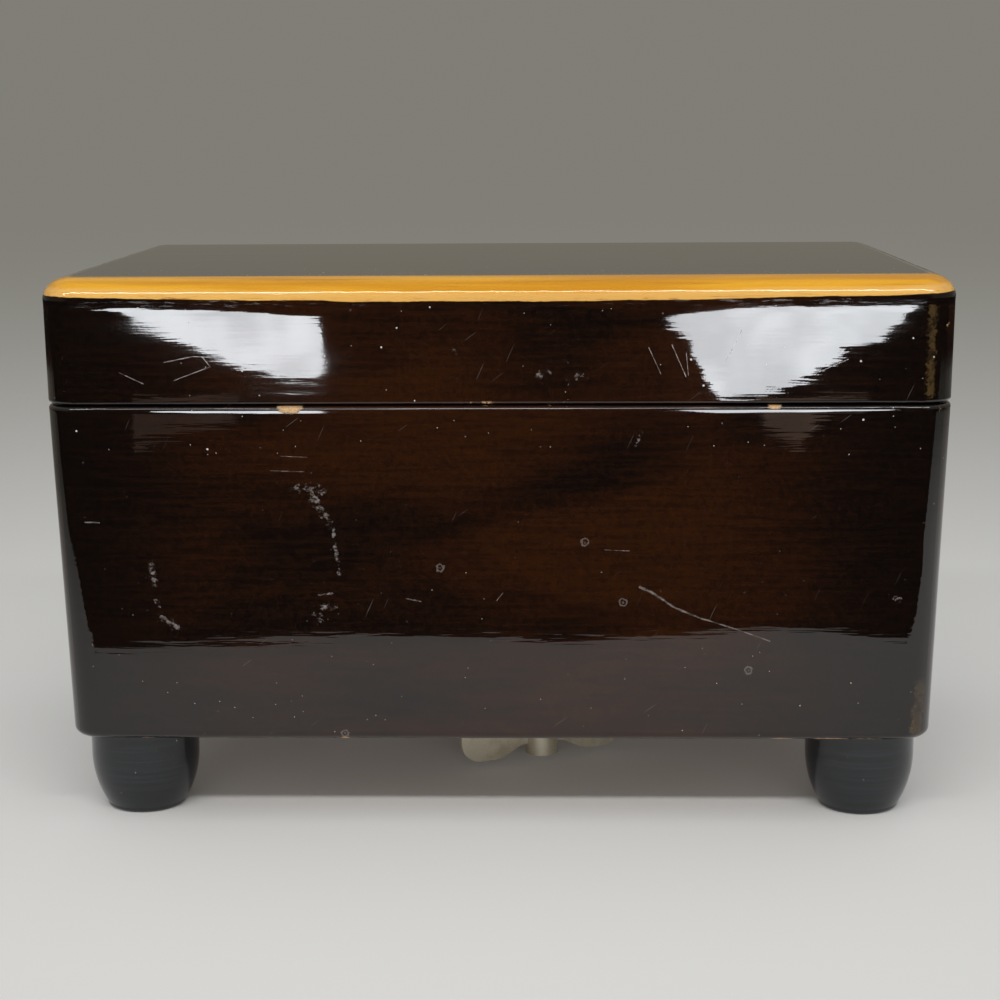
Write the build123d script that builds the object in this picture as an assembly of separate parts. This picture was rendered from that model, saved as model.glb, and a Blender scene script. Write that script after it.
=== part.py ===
from build123d import *
import os
from math import acos, asin, atan, cos, degrees, hypot, pi, radians, sin, sqrt, tan

# A small lacquered music box with a hinged lid, in millimetres.
# +X is to the right, the front faces -Y and +Z is up. The feet stand on z = 0, and the
# origin is under the middle of the whole box, hinges included.

# Case
CASE_W = 160.0  # width at the seam between body and lid
CASE_D = 100.0  # depth at the seam
BODY_H = 61.4
LID_H = 22.1
SEAM_GAP = 0.3  # open line between body and lid
WALL_T = 8.0  # walls at the seam
CORNER_R = 6.0  # upright corners, in plan
BODY_TAPER = 1.64  # each side is drawn in by this at the lower edge
LID_FLARE = 0.18  # each side of the lid leans out by this at its top
BODY_TOP_ROUND = 0.8
BODY_FOOT_ROUND = 1.6
LID_FOOT_ROUND = 0.5
BOTTOM_T = 5.0  # bottom panel
TOP_T = 5.0  # top panel, and the rim round it
RIM_W = 4.8  # rounded rim, across
RIM_ROUND_H = 3.9  # height of its rounded part
RIM_STEPS = 6  # outlines that its curve is drawn through

# Feet
FOOT_H = 16.0
FOOT_TOP_R = 10.0
FOOT_SHOULDER_Z = 10.4  # straight above this, drawn in below it
FOOT_BASE_R = 7.5
FOOT_BASE_ROUND = 0.9
FOOT_INSET_X = 13.0  # centre of a foot from the side of the case
FOOT_INSET_Y = 14.5  # centre of a foot from the front or back
TENON_R = 3.0
TENON_H = 4.0

# Inner fittings
PARTITION_T = 2.5
PARTITION_H = 49.0  # above the bottom panel
CLEAT_W = 3.0
CLEAT_H = 3.0
GLASS_Z = 29.0  # underside of the pane, above the bottom panel
GLASS_T = 2.0
GLASS_PLAY = 0.2
LINING_T = 1.2
PAD_T = 4.5
PAD_ROUND = 1.4
PAD_PLAY = 0.2
LID_LINING_T = 4.0
MIRROR_MARGIN_X = 11.0  # the mirror's edges from the lid's inner sides
MIRROR_MARGIN_Y = 9.0
MIRROR_T = 1.8
MIRROR_LAP = 2.5  # how far the lining covers the mirror's edge

# Hinges
HINGE_INSET = 30.0  # centre of a hinge from the side of the case
HINGE_W = 24.0
LEAF_T = 1.0
LEAF_D = 6.0
KNUCKLE_R = 1.5
KNUCKLE_W = 7.9  # middle knuckle
KNUCKLE_GAP = 0.15
HINGE_PIN_R = 0.75
PIN_HEAD_R = 1.1
PIN_HEAD_T = 0.4
AXIS_BACK = 1.0  # hinge axis behind the back of the case
HINGE_SCREW_X = 7.5
HINGE_SCREW_BACK = 3.4
WOOD_SCREW_R = 0.8
WOOD_SCREW_HEAD_R = 1.6
WOOD_SCREW_L = 5.5
WOOD_SLOT = 0.35  # width and depth of the slot

# Clearances
RUNNING = 0.04  # radial, shaft in bearing
SNUG = 0.02  # radial, pieces fixed together
HOLE_PLAY = 0.25  # radial, loose hole round a screw or a knuckle
LIFT = 0.3  # between faces that pass each other
TIP_GAP = 0.15  # between the cylinder's pins and the comb
PAST = 1.0  # how far a cut runs past what it cuts

# Movement
KEY_X = 7.5  # winding arbor, right of the middle
KEY_FROM_FRONT = 40.0
BED_T = 2.5
BED_LEFT = 44.5  # bedplate edges from the winding arbor
BED_RIGHT = 14.0
BED_FRONT = 20.5
BED_BACK = 30.75
BED_CORNER_R = 3.0
BED_PLAY = 1.0  # between the bedplate and the left partition
ARBOR_R = 2.0
ARBOR_END = 0.8  # past the ratchet wheel
BARREL_R = 12.0
BARREL_H = 11.0
BARREL_WALL = 0.7
BARREL_ROUND = 0.6
BARREL_GAP = 0.8  # to the cylinder's post
SPRING_T = 0.3
SPRING_H = 8.0
SPRING_TURNS = 8
PRESSURE_ANGLE = radians(20.0)
DEDENDUM = 1.25  # root depth of a tooth, in modules
DRIVE_MODULE = 0.6
CROWN_TEETH = 36
PINION_TEETH = 12
PINION_T = 1.2
CROWN_T = 1.5
CROWN_FACE_W = 1.5
CROWN_RIM = 0.3  # outside the teeth
DRIVE_BACKLASH = 0.18
TRAIN_MODULE = 0.4
CYLINDER_WHEEL_TEETH = 40
IDLER_PINION_TEETH = 10
IDLER_WHEEL_TEETH = 20
TRAIN_BACKLASH = 0.1
WORM_BACKLASH = 0.2
MESH_PLAY = 0.05  # added to each centre distance
WHEEL_T = 1.2
WHEEL_GAP = 0.8  # between a wheel and the cheek beside it
IDLER_WHEEL_T = 0.9
IDLER_PINION_T = 1.6
IDLER_HUB_R = 1.4
IDLER_HUB_L = 2.0  # from the middle of the idler wheel

# Ratchet and click, placed from the winding arbor
RATCHET_R = 5.0
RATCHET_TEETH = 16
RATCHET_DEPTH = 0.7
RATCHET_STEEP = 0.08  # lean of a tooth's steep side, as a share of the tooth
RATCHET_T = 1.0
CLICK_X = 1.5
CLICK_Y = 7.6
CLICK_EYE_R = 1.3
CLICK_TIP_TURN = radians(113.0)
CLICK_ROOT_FRONT = 0.9  # the pawl's edges in front of the eye and behind it
CLICK_ROOT_BACK = 1.1
CLICK_TIP_T = 0.6
CLICK_PIN_R = 0.6
CLICK_HEAD_R = 1.0
CLICK_HEAD_T = 0.6
CLICK_SPRING_T = 0.25
CLICK_SPRING_H = 0.6
CLICK_SPRING_FOOT = (-7.0, 3.2)
CLICK_SPRING_BOW = (-5.1, 5.5)
CLICK_SPRING_TIP = (-2.2, 6.05)
CLICK_SPRING_FOOT_R = 0.55

# Cylinder and comb
CYLINDER_R = 6.5
CYLINDER_WALL = 0.9
CYLINDER_CAP_T = 1.0
CYLINDER_L = 18.0
CYLINDER_ARBOR_R = 1.0
PIVOT_R = 0.7
PIVOT_END = 0.3  # past the pinion
END_PLAY = 0.5  # between the cylinder and its post
TINES = 18
TINE_PITCH = 0.96
SLOT_W = 0.2
PIN_W = 0.45
PIN_H = 0.8
PIN_SUNK = 0.3
PINS_PER_TRACK = 5
TRACK_TURN = 47.0  # degrees from one track's first pin to the next one's
BEAT_SHIFT = 13.0  # degrees that some pins are early or late by
COMB_T = 1.2
COMB_L = 21.5
LONG_TINE = 13.5
SHORT_TINE = 8.5
TINE_ROOT = 0.5  # from the longest slot to the comb's seat
WEIGHTED_TINES = 7
WEIGHT_FROM_TIP = 0.3
WEIGHT_L = 3.1
WEIGHT_H = 2.2  # the longest tine's weight, each next one being lower by the step
WEIGHT_STEP = 0.2
COMB_SCREW_INSET = 3.4
COMB_SCREW_R = 1.1
COMB_SCREW_HEAD_R = 2.1
COMB_SCREW_HEAD_T = 1.1
COMB_SCREW_L = 6.0

# Cylinder post
POST_T = 1.4
POST_W = 8.0
POST_TOP = 3.0  # above the cylinder's axis
POST_ROUND = 3.0
POST_FOOT_L = 7.0
POST_SCREW_OUT = 4.2  # from the post's face

# Governor and its frame
FRAME_T = 1.2
FRAME_MARGIN = 1.4  # of metal round the plunger and the frame's edges
CHEEK_FRONT = 1.0  # the inner cheek's edge in front of the idler's axis
CHEEK_BACK = 2.4  # metal behind the cylinder's pivot and the fixing screw
CHEEK_TOP = 1.5  # above the cylinder's axis, at the back
OUTER_FOOT_L = 5.5  # the outer cheek's foot
OUTER_EYE = 1.6  # metal round the idler's pivot
ARM_NECK = 0.8  # the arm's straight part beside the inner cheek
FRAME_SCREW_BACK = 1.5  # behind the cylinder's axis
IDLER_DOWN = 6.1  # idler axis below the cylinder axis
IDLER_ARBOR_R = 0.6
WORM_R = 1.6  # pitch radius
WORM_TURNS = 4
WORM_DEPTH = 1.2  # root depth of the thread, in modules
WORM_RISE = 0.9  # its height above the pitch radius, in modules
WORM_THIN = 0.03  # taken off each side of the thread
WORM_SUNK = 0.1
WORM_END = 0.6  # plain core past the thread
WORM_FROM_CHEEK = 2.6  # spindle axis from the inner cheek
WORM_FROM_OUTER = 3.2  # spindle axis from the outer cheek
SPINDLE_R = 0.6
SPINDLE_PIVOT_R = 0.4
FAN_R = 4.2
FAN_H = 4.6
FAN_T = 0.4
FAN_TURN = 35.0
FAN_ABOVE_WORM = 2.6
FAN_BELOW_ARM = 0.6
FAN_NOTCH_R = 2.2
FAN_NOTCH_H = 0.8
HUB_R = 1.1

# Start and stop plunger
PLUNGER_R = 0.8
PLUNGER_ROUND = 0.5
PLUNGER_PANE_PLAY = 0.8  # radial, in the glass
PLUNGER_DX = 4.2  # left of the governor spindle
PLUNGER_DY = 4.1  # in front of it
PLUNGER_COLLAR_R = 2.2
PLUNGER_COLLAR_T = 1.0
PLUNGER_TRAVEL = 3.5  # how far it rises as the lid opens
FINGER_W = 1.2
FINGER_T = 1.0
WIRE_R = 0.2
COIL_R = 1.6
COIL_TURNS = 7
COIL_H = 8.0
COIL_SEAT = 0.05  # between the coil and each of its seats

# Winding key
KEY_ANGLE = 24.0  # the wings are turned by this from the front plane
KEY_SPAN = 17.4  # wing tip from the axis
KEY_SHOULDER = 9.05  # where a wing is at its full height, from the axis
KEY_T = 1.2
KEY_COLLAR_R = 3.25
KEY_FLOOR = 1.6  # the collar's end above the floor
WING_FLOOR = 1.3  # the wings' lower edge above the floor
WING_DROP = 1.2  # their upper edge below the collar's top
WAIST_OUT = 1.2  # the narrow part beside the collar
WAIST_UP = 2.4  # above the wings' lower edge
WAIST_DOWN = 3.4  # below the collar's top
WING_TIP_ROUND = 4.2
WING_BEND_ROUND = 2.0
KEY_TOP_GAP = 1.0  # under the case
KEY_SHANK_R = 1.75
KEY_SHANK_L = 8.0
KEY_SHANK_PLAY = 0.2  # below the shank's end
KEY_HOLE_PLAY = 1.5  # radial, in the bottom panel

# Fixing screws of the movement
FIX_R = 1.25
FIX_HEAD_R = 2.8
FIX_HEAD_T = 1.4
FIX_INSET = 5.0  # from the bedplate's edges
SMALL_R = 0.9
SMALL_HEAD_R = 1.7
SMALL_HEAD_T = 0.9
SCREW_SHORT = 0.4  # a screw's end from the far side of its hole
SCREW_SLOT_W = 0.5

# Heights and planes worked out from the sizes above
BODY_Z = FOOT_H
FLOOR_Z = BODY_Z + BOTTOM_T
SEAM_Z = BODY_Z + BODY_H
LID_Z = SEAM_Z + SEAM_GAP
TOP_Z = LID_Z + LID_H
PANEL_Z = TOP_Z - TOP_T
CASE_Y = -(AXIS_BACK + KNUCKLE_R) / 2
FRONT_Y = CASE_Y - CASE_D / 2
BACK_Y = CASE_Y + CASE_D / 2
INNER_X = CASE_W / 2 - WALL_T
INNER_FRONT = FRONT_Y + WALL_T
INNER_BACK = BACK_Y - WALL_T
AXIS_Y = BACK_Y + AXIS_BACK
AXIS_Z = SEAM_Z + SEAM_GAP / 2
HINGE_X = CASE_W / 2 - HINGE_INSET
BAY_W = 2 * (BED_LEFT - KEY_X + BED_PLAY)
PARTITION_TOP = FLOOR_Z + PARTITION_H
PANE_Z = FLOOR_Z + GLASS_Z
MIRROR_W = 2 * (INNER_X - MIRROR_MARGIN_X)
MIRROR_D = INNER_BACK - INNER_FRONT - 2 * MIRROR_MARGIN_Y

KEY_Y = FRONT_Y + KEY_FROM_FRONT
BED_Z = FLOOR_Z + BED_T
FRAME_Z = BED_Z + FRAME_T
BARREL_TOP = BED_Z + BARREL_H
CROWN_Z = BARREL_TOP + LIFT
PINION_R = DRIVE_MODULE * PINION_TEETH / 2
CROWN_R = DRIVE_MODULE * CROWN_TEETH / 2
CROWN_ROOT_Z = CROWN_Z + CROWN_T
RATCHET_Z = CROWN_ROOT_Z + LIFT
SHANK_Z = BODY_Z - KEY_SHANK_L
CYLINDER_Z = CROWN_ROOT_Z + DEDENDUM * DRIVE_MODULE + PINION_R + MESH_PLAY
PINION_X = KEY_X - CROWN_R
POST_X = KEY_X - BARREL_R - BARREL_GAP - POST_T
CYLINDER_X = POST_X - END_PLAY
CYLINDER_END = CYLINDER_X - CYLINDER_L
CHEEK_X = CYLINDER_END - WHEEL_T - WHEEL_GAP - FRAME_T
WHEEL_R = TRAIN_MODULE * CYLINDER_WHEEL_TEETH / 2
IDLER_PINION_R = TRAIN_MODULE * IDLER_PINION_TEETH / 2
IDLER_WHEEL_R = TRAIN_MODULE * IDLER_WHEEL_TEETH / 2
IDLER_REACH = WHEEL_R + IDLER_PINION_R + MESH_PLAY
IDLER_Y = KEY_Y - sqrt(IDLER_REACH**2 - IDLER_DOWN**2)
IDLER_Z = CYLINDER_Z - IDLER_DOWN
WORM_X = CHEEK_X - WORM_FROM_CHEEK
WORM_Y = IDLER_Y - IDLER_WHEEL_R - WORM_R - MESH_PLAY
WORM_LEAD = pi * TRAIN_MODULE
OUTER_CHEEK_X = WORM_X - WORM_FROM_OUTER
WORM_TOP = IDLER_Z + WORM_LEAD * WORM_TURNS / 2
FAN_Z = WORM_TOP + FAN_ABOVE_WORM
ARM_Z = FAN_Z + FAN_H + FAN_BELOW_ARM
ARM_TOP = ARM_Z + FRAME_T
COMB_Z = CYLINDER_Z - COMB_T / 2
COMB_TOP = COMB_Z + COMB_T
TIP_Y = KEY_Y + CYLINDER_R + PIN_H + TIP_GAP
COMB_BACK = TIP_Y + COMB_L
COMB_X = CYLINDER_X - (CYLINDER_L - TINES * TINE_PITCH) / 2
COMB_LEFT = COMB_X - TINES * TINE_PITCH
SEAT_FRONT = TIP_Y + LONG_TINE + TINE_ROOT
PLUNGER_X = WORM_X - PLUNGER_DX
PLUNGER_Y = WORM_Y - PLUNGER_DY
PLUNGER_TOP = PANEL_Z - LID_LINING_T - LIFT
COMB_SCREW_Y = (COMB_BACK + TIP_Y + LONG_TINE) / 2
COMB_SCREWS = [COMB_X - COMB_SCREW_INSET, COMB_LEFT + COMB_SCREW_INSET]
FIXINGS = [
    (KEY_X - BED_LEFT + FIX_INSET, KEY_Y + BED_BACK - FIX_INSET),
    (KEY_X + BED_RIGHT - FIX_INSET, KEY_Y + BED_BACK - FIX_INSET),
    (KEY_X + BED_RIGHT - FIX_INSET, KEY_Y - BED_FRONT + FIX_INSET),
]
POST_SCREW = (POST_X - POST_SCREW_OUT, KEY_Y)
FRAME_SCREW = (WORM_X, KEY_Y + FRAME_SCREW_BACK)


def block(x0, x1, y0, y1, z0, z1):
    return Pos((x0 + x1) / 2, (y0 + y1) / 2, (z0 + z1) / 2) * Box(x1 - x0, y1 - y0, z1 - z0)


def upright(x, y, z0, z1, radius):
    return Pos(x, y, (z0 + z1) / 2) * Cylinder(radius, z1 - z0)


def level(x0, x1, y, z, radius):
    """A round bar along X."""
    return Pos((x0 + x1) / 2, y, z) * Rot(0, 90, 0) * Cylinder(radius, x1 - x0)


def tapered_block(z0, z1, grow0, grow1):
    """The case's rounded outline between two heights, each side grown by grow0 and grow1."""
    foot = Pos(0, CASE_Y, z0) * RectangleRounded(CASE_W + 2 * grow0, CASE_D + 2 * grow0, CORNER_R)
    head = Pos(0, CASE_Y, z1) * RectangleRounded(CASE_W + 2 * grow1, CASE_D + 2 * grow1, CORNER_R)
    return loft([foot, head], ruled=True)


def inner_space(z0, z1):
    return block(-INNER_X, INNER_X, INNER_FRONT, INNER_BACK, z0, z1)


def mitred(shell, z0, z1):
    """Front, back, left and right boards, cut from a ring of wall along its mitres."""
    far = 2 * WALL_T
    left, right = -INNER_X, INNER_X
    front, back = INNER_FRONT, INNER_BACK
    wedges = [
        [(left, front), (right, front), (right + far, front - far), (left - far, front - far)],
        [(left, back), (right, back), (right + far, back + far), (left - far, back + far)],
        [(left, front), (left, back), (left - far, back + far), (left - far, front - far)],
        [(right, front), (right, back), (right + far, back + far), (right + far, front - far)],
    ]
    boards = []
    for corners in wedges:
        wedge = extrude(Polygon(*corners, align=None), z1 - z0 + 2 * PAST, dir=(0, 0, 1))
        boards.append(shell & Pos(0, 0, z0 - PAST) * wedge)
    return boards


def hinge_recess(low, high):
    """Room for a leaf between two heights, and for the knuckles, at both hinges."""
    reach = HINGE_W / 2 + PIN_HEAD_T + HOLE_PLAY
    cuts = []
    for x in (-HINGE_X, HINGE_X):
        cuts.append(block(x - HINGE_W / 2, x + HINGE_W / 2, BACK_Y - LEAF_D, AXIS_Y + PAST, low, high))
        cuts.append(level(x - reach, x + reach, AXIS_Y, AXIS_Z, KNUCKLE_R + HOLE_PLAY))
    return cuts


def wood_screw(grow=0.0):
    """A countersunk screw pointing down from z = 0; grow widens it to cut its hole."""
    head_r, shank_r = WOOD_SCREW_HEAD_R + grow, WOOD_SCREW_R + grow
    slope = WOOD_SCREW_HEAD_R - WOOD_SCREW_R
    tip = WOOD_SCREW_L + grow
    outline = [(0, 0), (head_r, 0), (shank_r, -slope), (shank_r, -tip + shank_r), (0, -tip)]
    screw = revolve(Plane.XZ * Polygon(*outline, align=None), Axis.Z)
    if grow:
        return screw
    return screw - Box(4 * WOOD_SCREW_HEAD_R, WOOD_SLOT, 2 * WOOD_SLOT)


def hinge_screw_places(z, upward):
    turn = Rot(180, 0, 0) if upward else Rot(0, 0, 0)
    places = []
    for hinge in (-HINGE_X, HINGE_X):
        for side in (-HINGE_SCREW_X, HINGE_SCREW_X):
            places.append(Pos(hinge + side, BACK_Y - HINGE_SCREW_BACK, z) * turn)
    return places


def body_boards():
    shell = tapered_block(BODY_Z, SEAM_Z, -BODY_TAPER, 0)
    shell = fillet(shell.edges().group_by(Axis.Z)[-1], BODY_TOP_ROUND)
    shell = fillet(shell.edges().group_by(Axis.Z)[0], BODY_FOOT_ROUND)
    shell -= inner_space(BODY_Z - PAST, SEAM_Z + PAST)
    front, back, left, right = mitred(shell, BODY_Z, SEAM_Z)
    back -= hinge_recess(SEAM_Z - LEAF_T, SEAM_Z + PAST)
    back -= [place * wood_screw(SNUG) for place in hinge_screw_places(SEAM_Z, False)]
    return {"body_front": front, "body_back": back, "body_left": left, "body_right": right}


def foot_places():
    x = CASE_W / 2 - FOOT_INSET_X
    return {
        "foot_front_left": (-x, FRONT_Y + FOOT_INSET_Y),
        "foot_front_right": (x, FRONT_Y + FOOT_INSET_Y),
        "foot_back_left": (-x, BACK_Y - FOOT_INSET_Y),
        "foot_back_right": (x, BACK_Y - FOOT_INSET_Y),
    }


def bottom_panel():
    low, high = BODY_Z - PAST, FLOOR_Z + PAST
    panel = inner_space(BODY_Z, FLOOR_Z)
    for x, y in foot_places().values():
        panel -= upright(x, y, low, BODY_Z + TENON_H + LIFT, TENON_R + SNUG)
    panel -= upright(KEY_X, KEY_Y, low, high, KEY_COLLAR_R + KEY_HOLE_PLAY)
    for x, y in FIXINGS:
        panel -= upright(x, y, low, high, FIX_R + HOLE_PLAY)
    return panel


def foot(x, y):
    """A turned foot: straight at the top, then one full curve in to a softly rounded base."""
    base = (FOOT_BASE_R - FOOT_BASE_ROUND, 0)
    heel = (FOOT_BASE_R, FOOT_BASE_ROUND)
    shoulder = (FOOT_TOP_R, FOOT_SHOULDER_Z)
    bulge = FOOT_BASE_ROUND * (1 - sqrt(0.5))
    outline = [
        Line((0, 0), base),
        ThreePointArc(base, (FOOT_BASE_R - bulge, bulge), heel),
        TangentArc(shoulder, heel, tangent=(0, -1)),
        Line(shoulder, (FOOT_TOP_R, FOOT_H)),
        Line((FOOT_TOP_R, FOOT_H), (TENON_R, FOOT_H)),
        Line((TENON_R, FOOT_H), (TENON_R, FOOT_H + TENON_H)),
        Line((TENON_R, FOOT_H + TENON_H), (0, FOOT_H + TENON_H)),
        Line((0, FOOT_H + TENON_H), (0, 0)),
    ]
    return Pos(x, y, 0) * revolve(Plane.XZ * make_face(outline), Axis.Z)


def partition(side):
    inner = side * BAY_W / 2
    outer = side * (BAY_W / 2 + PARTITION_T)
    return block(min(inner, outer), max(inner, outer), INNER_FRONT, INNER_BACK, FLOOR_Z, PARTITION_TOP)


def glass_cleats():
    front = block(-BAY_W / 2, BAY_W / 2, INNER_FRONT, INNER_FRONT + CLEAT_W, PANE_Z - CLEAT_H, PANE_Z)
    back = block(-BAY_W / 2, BAY_W / 2, INNER_BACK - CLEAT_W, INNER_BACK, PANE_Z - CLEAT_H, PANE_Z)
    return [front, back]


def glass_pane():
    half = BAY_W / 2 - GLASS_PLAY
    front, back = INNER_FRONT + GLASS_PLAY, INNER_BACK - GLASS_PLAY
    pane = block(-half, half, front, back, PANE_Z, PANE_Z + GLASS_T)
    hole_r = PLUNGER_R + PLUNGER_PANE_PLAY
    return pane - upright(PLUNGER_X, PLUNGER_Y, PANE_Z - PAST, PANE_Z + GLASS_T + PAST, hole_r)


def well_walls(side):
    """The velvet-covered cards that stand against the four walls of a side well."""
    low, high = sorted((side * (BAY_W / 2 + PARTITION_T), side * INNER_X))
    sleeve = block(low, high, INNER_FRONT, INNER_BACK, FLOOR_Z, PARTITION_TOP)
    front, back = INNER_FRONT + LINING_T, INNER_BACK - LINING_T
    bottom, top = FLOOR_Z - PAST, PARTITION_TOP + PAST
    return sleeve - block(low + LINING_T, high - LINING_T, front, back, bottom, top)


def well_pad(side):
    gap = LINING_T + PAD_PLAY
    low, high = sorted((side * (BAY_W / 2 + PARTITION_T + gap), side * (INNER_X - gap)))
    pad = block(low, high, INNER_FRONT + gap, INNER_BACK - gap, FLOOR_Z, FLOOR_Z + PAD_T)
    return fillet(pad.edges().group_by(Axis.Z)[-1], PAD_ROUND)


def plan_outline(grow, inset):
    width = CASE_W + 2 * grow - 2 * inset
    depth = CASE_D + 2 * grow - 2 * inset
    return RectangleRounded(width, depth, CORNER_R - inset)


def rim_block():
    """The lid's top slab, with its elliptical roundover lofted through plan outlines."""
    low = LID_FLARE * (1 - TOP_T / LID_H)
    straight = TOP_T - RIM_ROUND_H
    outlines = [Pos(0, CASE_Y, PANEL_Z) * plan_outline(low, 0)]
    for i in range(RIM_STEPS + 1):
        turn = pi / 2 * i / RIM_STEPS
        inset = RIM_W * (1 - cos(turn))
        z = PANEL_Z + straight + RIM_ROUND_H * sin(turn)
        outlines.append(Pos(0, CASE_Y, z) * plan_outline(LID_FLARE, inset))
    upright_part = loft(outlines[:2], ruled=True)
    return upright_part + loft(outlines[1:])


def lid_panel():
    return Pos(0, CASE_Y, PANEL_Z) * extrude(plan_outline(LID_FLARE, RIM_W), TOP_T)


def lid_rim():
    return rim_block() - lid_panel()


def lid_boards():
    grow = LID_FLARE * (1 - TOP_T / LID_H)
    shell = tapered_block(LID_Z, PANEL_Z, 0, grow)
    shell = fillet(shell.edges().group_by(Axis.Z)[0], LID_FOOT_ROUND)
    shell -= inner_space(LID_Z - PAST, PANEL_Z + PAST)
    front, back, left, right = mitred(shell, LID_Z, PANEL_Z)
    back -= hinge_recess(LID_Z - PAST, LID_Z + LEAF_T)
    back -= [place * wood_screw(SNUG) for place in hinge_screw_places(LID_Z, True)]
    return {"lid_front": front, "lid_back": back, "lid_left": left, "lid_right": right}


def mirror():
    return Pos(0, CASE_Y, PANEL_Z - MIRROR_T / 2) * Box(MIRROR_W, MIRROR_D, MIRROR_T)


def lid_lining():
    """A covered card under the top panel, rebated to hold the mirror by its edges."""
    card = inner_space(PANEL_Z - LID_LINING_T, PANEL_Z)
    card -= mirror()
    window = Box(MIRROR_W - 2 * MIRROR_LAP, MIRROR_D - 2 * MIRROR_LAP, 3 * LID_LINING_T)
    return card - Pos(0, CASE_Y, PANEL_Z) * window


def knuckles(x, spans, bore):
    tubes = []
    for start, end in spans:
        barrel = level(x + start, x + end, AXIS_Y, AXIS_Z, KNUCKLE_R)
        tubes.append(barrel - level(x + start - PAST, x + end + PAST, AXIS_Y, AXIS_Z, bore))
    return tubes


def hinge_leaf(x, z0, spans, others, bore):
    """A leaf with its knuckles on spans, cut clear of the other leaf's knuckles."""
    plate = block(x - HINGE_W / 2, x + HINGE_W / 2, BACK_Y - LEAF_D, AXIS_Y, z0, z0 + LEAF_T)
    for start, end in others:
        start, end = x + start - KNUCKLE_GAP, x + end + KNUCKLE_GAP
        plate -= level(start, end, AXIS_Y, AXIS_Z, KNUCKLE_R + KNUCKLE_GAP)
    plate -= level(x - HINGE_W, x + HINGE_W, AXIS_Y, AXIS_Z, bore)
    return plate + knuckles(x, spans, bore)


def hinge_parts(name, x):
    middle = [(-KNUCKLE_W / 2, KNUCKLE_W / 2)]
    start = KNUCKLE_W / 2 + KNUCKLE_GAP
    ends = [(-HINGE_W / 2, -start), (start, HINGE_W / 2)]
    case_leaf = hinge_leaf(x, SEAM_Z - LEAF_T, ends, middle, HINGE_PIN_R + SNUG)
    case_leaf -= [place * wood_screw(SNUG) for place in hinge_screw_places(SEAM_Z, False)]
    lid_leaf = hinge_leaf(x, LID_Z, middle, ends, HINGE_PIN_R + RUNNING)
    lid_leaf -= [place * wood_screw(SNUG) for place in hinge_screw_places(LID_Z, True)]
    pin = level(x - HINGE_W / 2, x + HINGE_W / 2, AXIS_Y, AXIS_Z, HINGE_PIN_R)
    for side in (-1, 1):
        low, high = sorted((x + side * HINGE_W / 2, x + side * (HINGE_W / 2 + PIN_HEAD_T)))
        pin += level(low, high, AXIS_Y, AXIS_Z, PIN_HEAD_R)
    return {f"{name}_case_leaf": case_leaf, f"{name}_lid_leaf": lid_leaf, f"{name}_pin": pin}


def bedplate():
    """The cast plate, with the raised seat that carries the comb."""
    left, right = KEY_X - BED_LEFT, KEY_X + BED_RIGHT
    front, back = KEY_Y - BED_FRONT, KEY_Y + BED_BACK
    low, high = FLOOR_Z - PAST, BED_Z + PAST
    outline = Pos((left + right) / 2, (front + back) / 2, FLOOR_Z)
    plate = outline * extrude(RectangleRounded(right - left, back - front, BED_CORNER_R), BED_T)
    plate += block(COMB_LEFT, COMB_X, SEAT_FRONT, COMB_BACK, FLOOR_Z, COMB_Z)
    plate -= upright(KEY_X, KEY_Y, low, high, ARBOR_R + RUNNING)
    for x, y in FIXINGS:
        plate -= upright(x, y, low, high, FIX_R + SNUG)
    for x, y in (POST_SCREW, FRAME_SCREW):
        plate -= upright(x, y, low, high, SMALL_R + SNUG)
    for x in COMB_SCREWS:
        plate -= upright(x, COMB_SCREW_Y, COMB_TOP - COMB_SCREW_L - PAST, COMB_TOP, COMB_SCREW_R + SNUG)
    plate -= upright(PLUNGER_X, PLUNGER_Y, low, high, PLUNGER_R + HOLE_PLAY)
    return plate


def spring_barrel():
    shell = upright(KEY_X, KEY_Y, BED_Z, BARREL_TOP, BARREL_R)
    shell = fillet(shell.edges().group_by(Axis.Z)[-1], BARREL_ROUND)
    shell -= upright(KEY_X, KEY_Y, BED_Z - PAST, BARREL_TOP - BARREL_WALL, BARREL_R - BARREL_WALL)
    return shell - upright(KEY_X, KEY_Y, BED_Z, BARREL_TOP + PAST, ARBOR_R + RUNNING)


def mainspring():
    """A flat strip wound in half circles about two centres, from the arbor to the barrel."""
    inner = ARBOR_R + LIFT
    pitch = (BARREL_R - BARREL_WALL - LIFT - SPRING_T - inner) / SPRING_TURNS
    edges = []
    for rise in (0, SPRING_T):
        for half in range(2 * SPRING_TURNS):
            centre = (pitch / 2 if half % 2 else 0, 0)
            radius = inner + rise + half * pitch / 2
            edges.append(CenterArc(centre, radius, 180 * half, 180))
    last = inner + SPRING_TURNS * pitch
    edges.append(Line((inner, 0), (inner + SPRING_T, 0)))
    edges.append(Line((last, 0), (last + SPRING_T, 0)))
    strip = extrude(make_face(edges), SPRING_H)
    return Pos(KEY_X, KEY_Y, BED_Z + (BARREL_H - BARREL_WALL - SPRING_H) / 2) * strip


def winding_arbor():
    arbor = upright(KEY_X, KEY_Y, BODY_Z, RATCHET_Z + RATCHET_T + ARBOR_END, ARBOR_R)
    return arbor + upright(KEY_X, KEY_Y, SHANK_Z, BODY_Z, KEY_SHANK_R)


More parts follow.
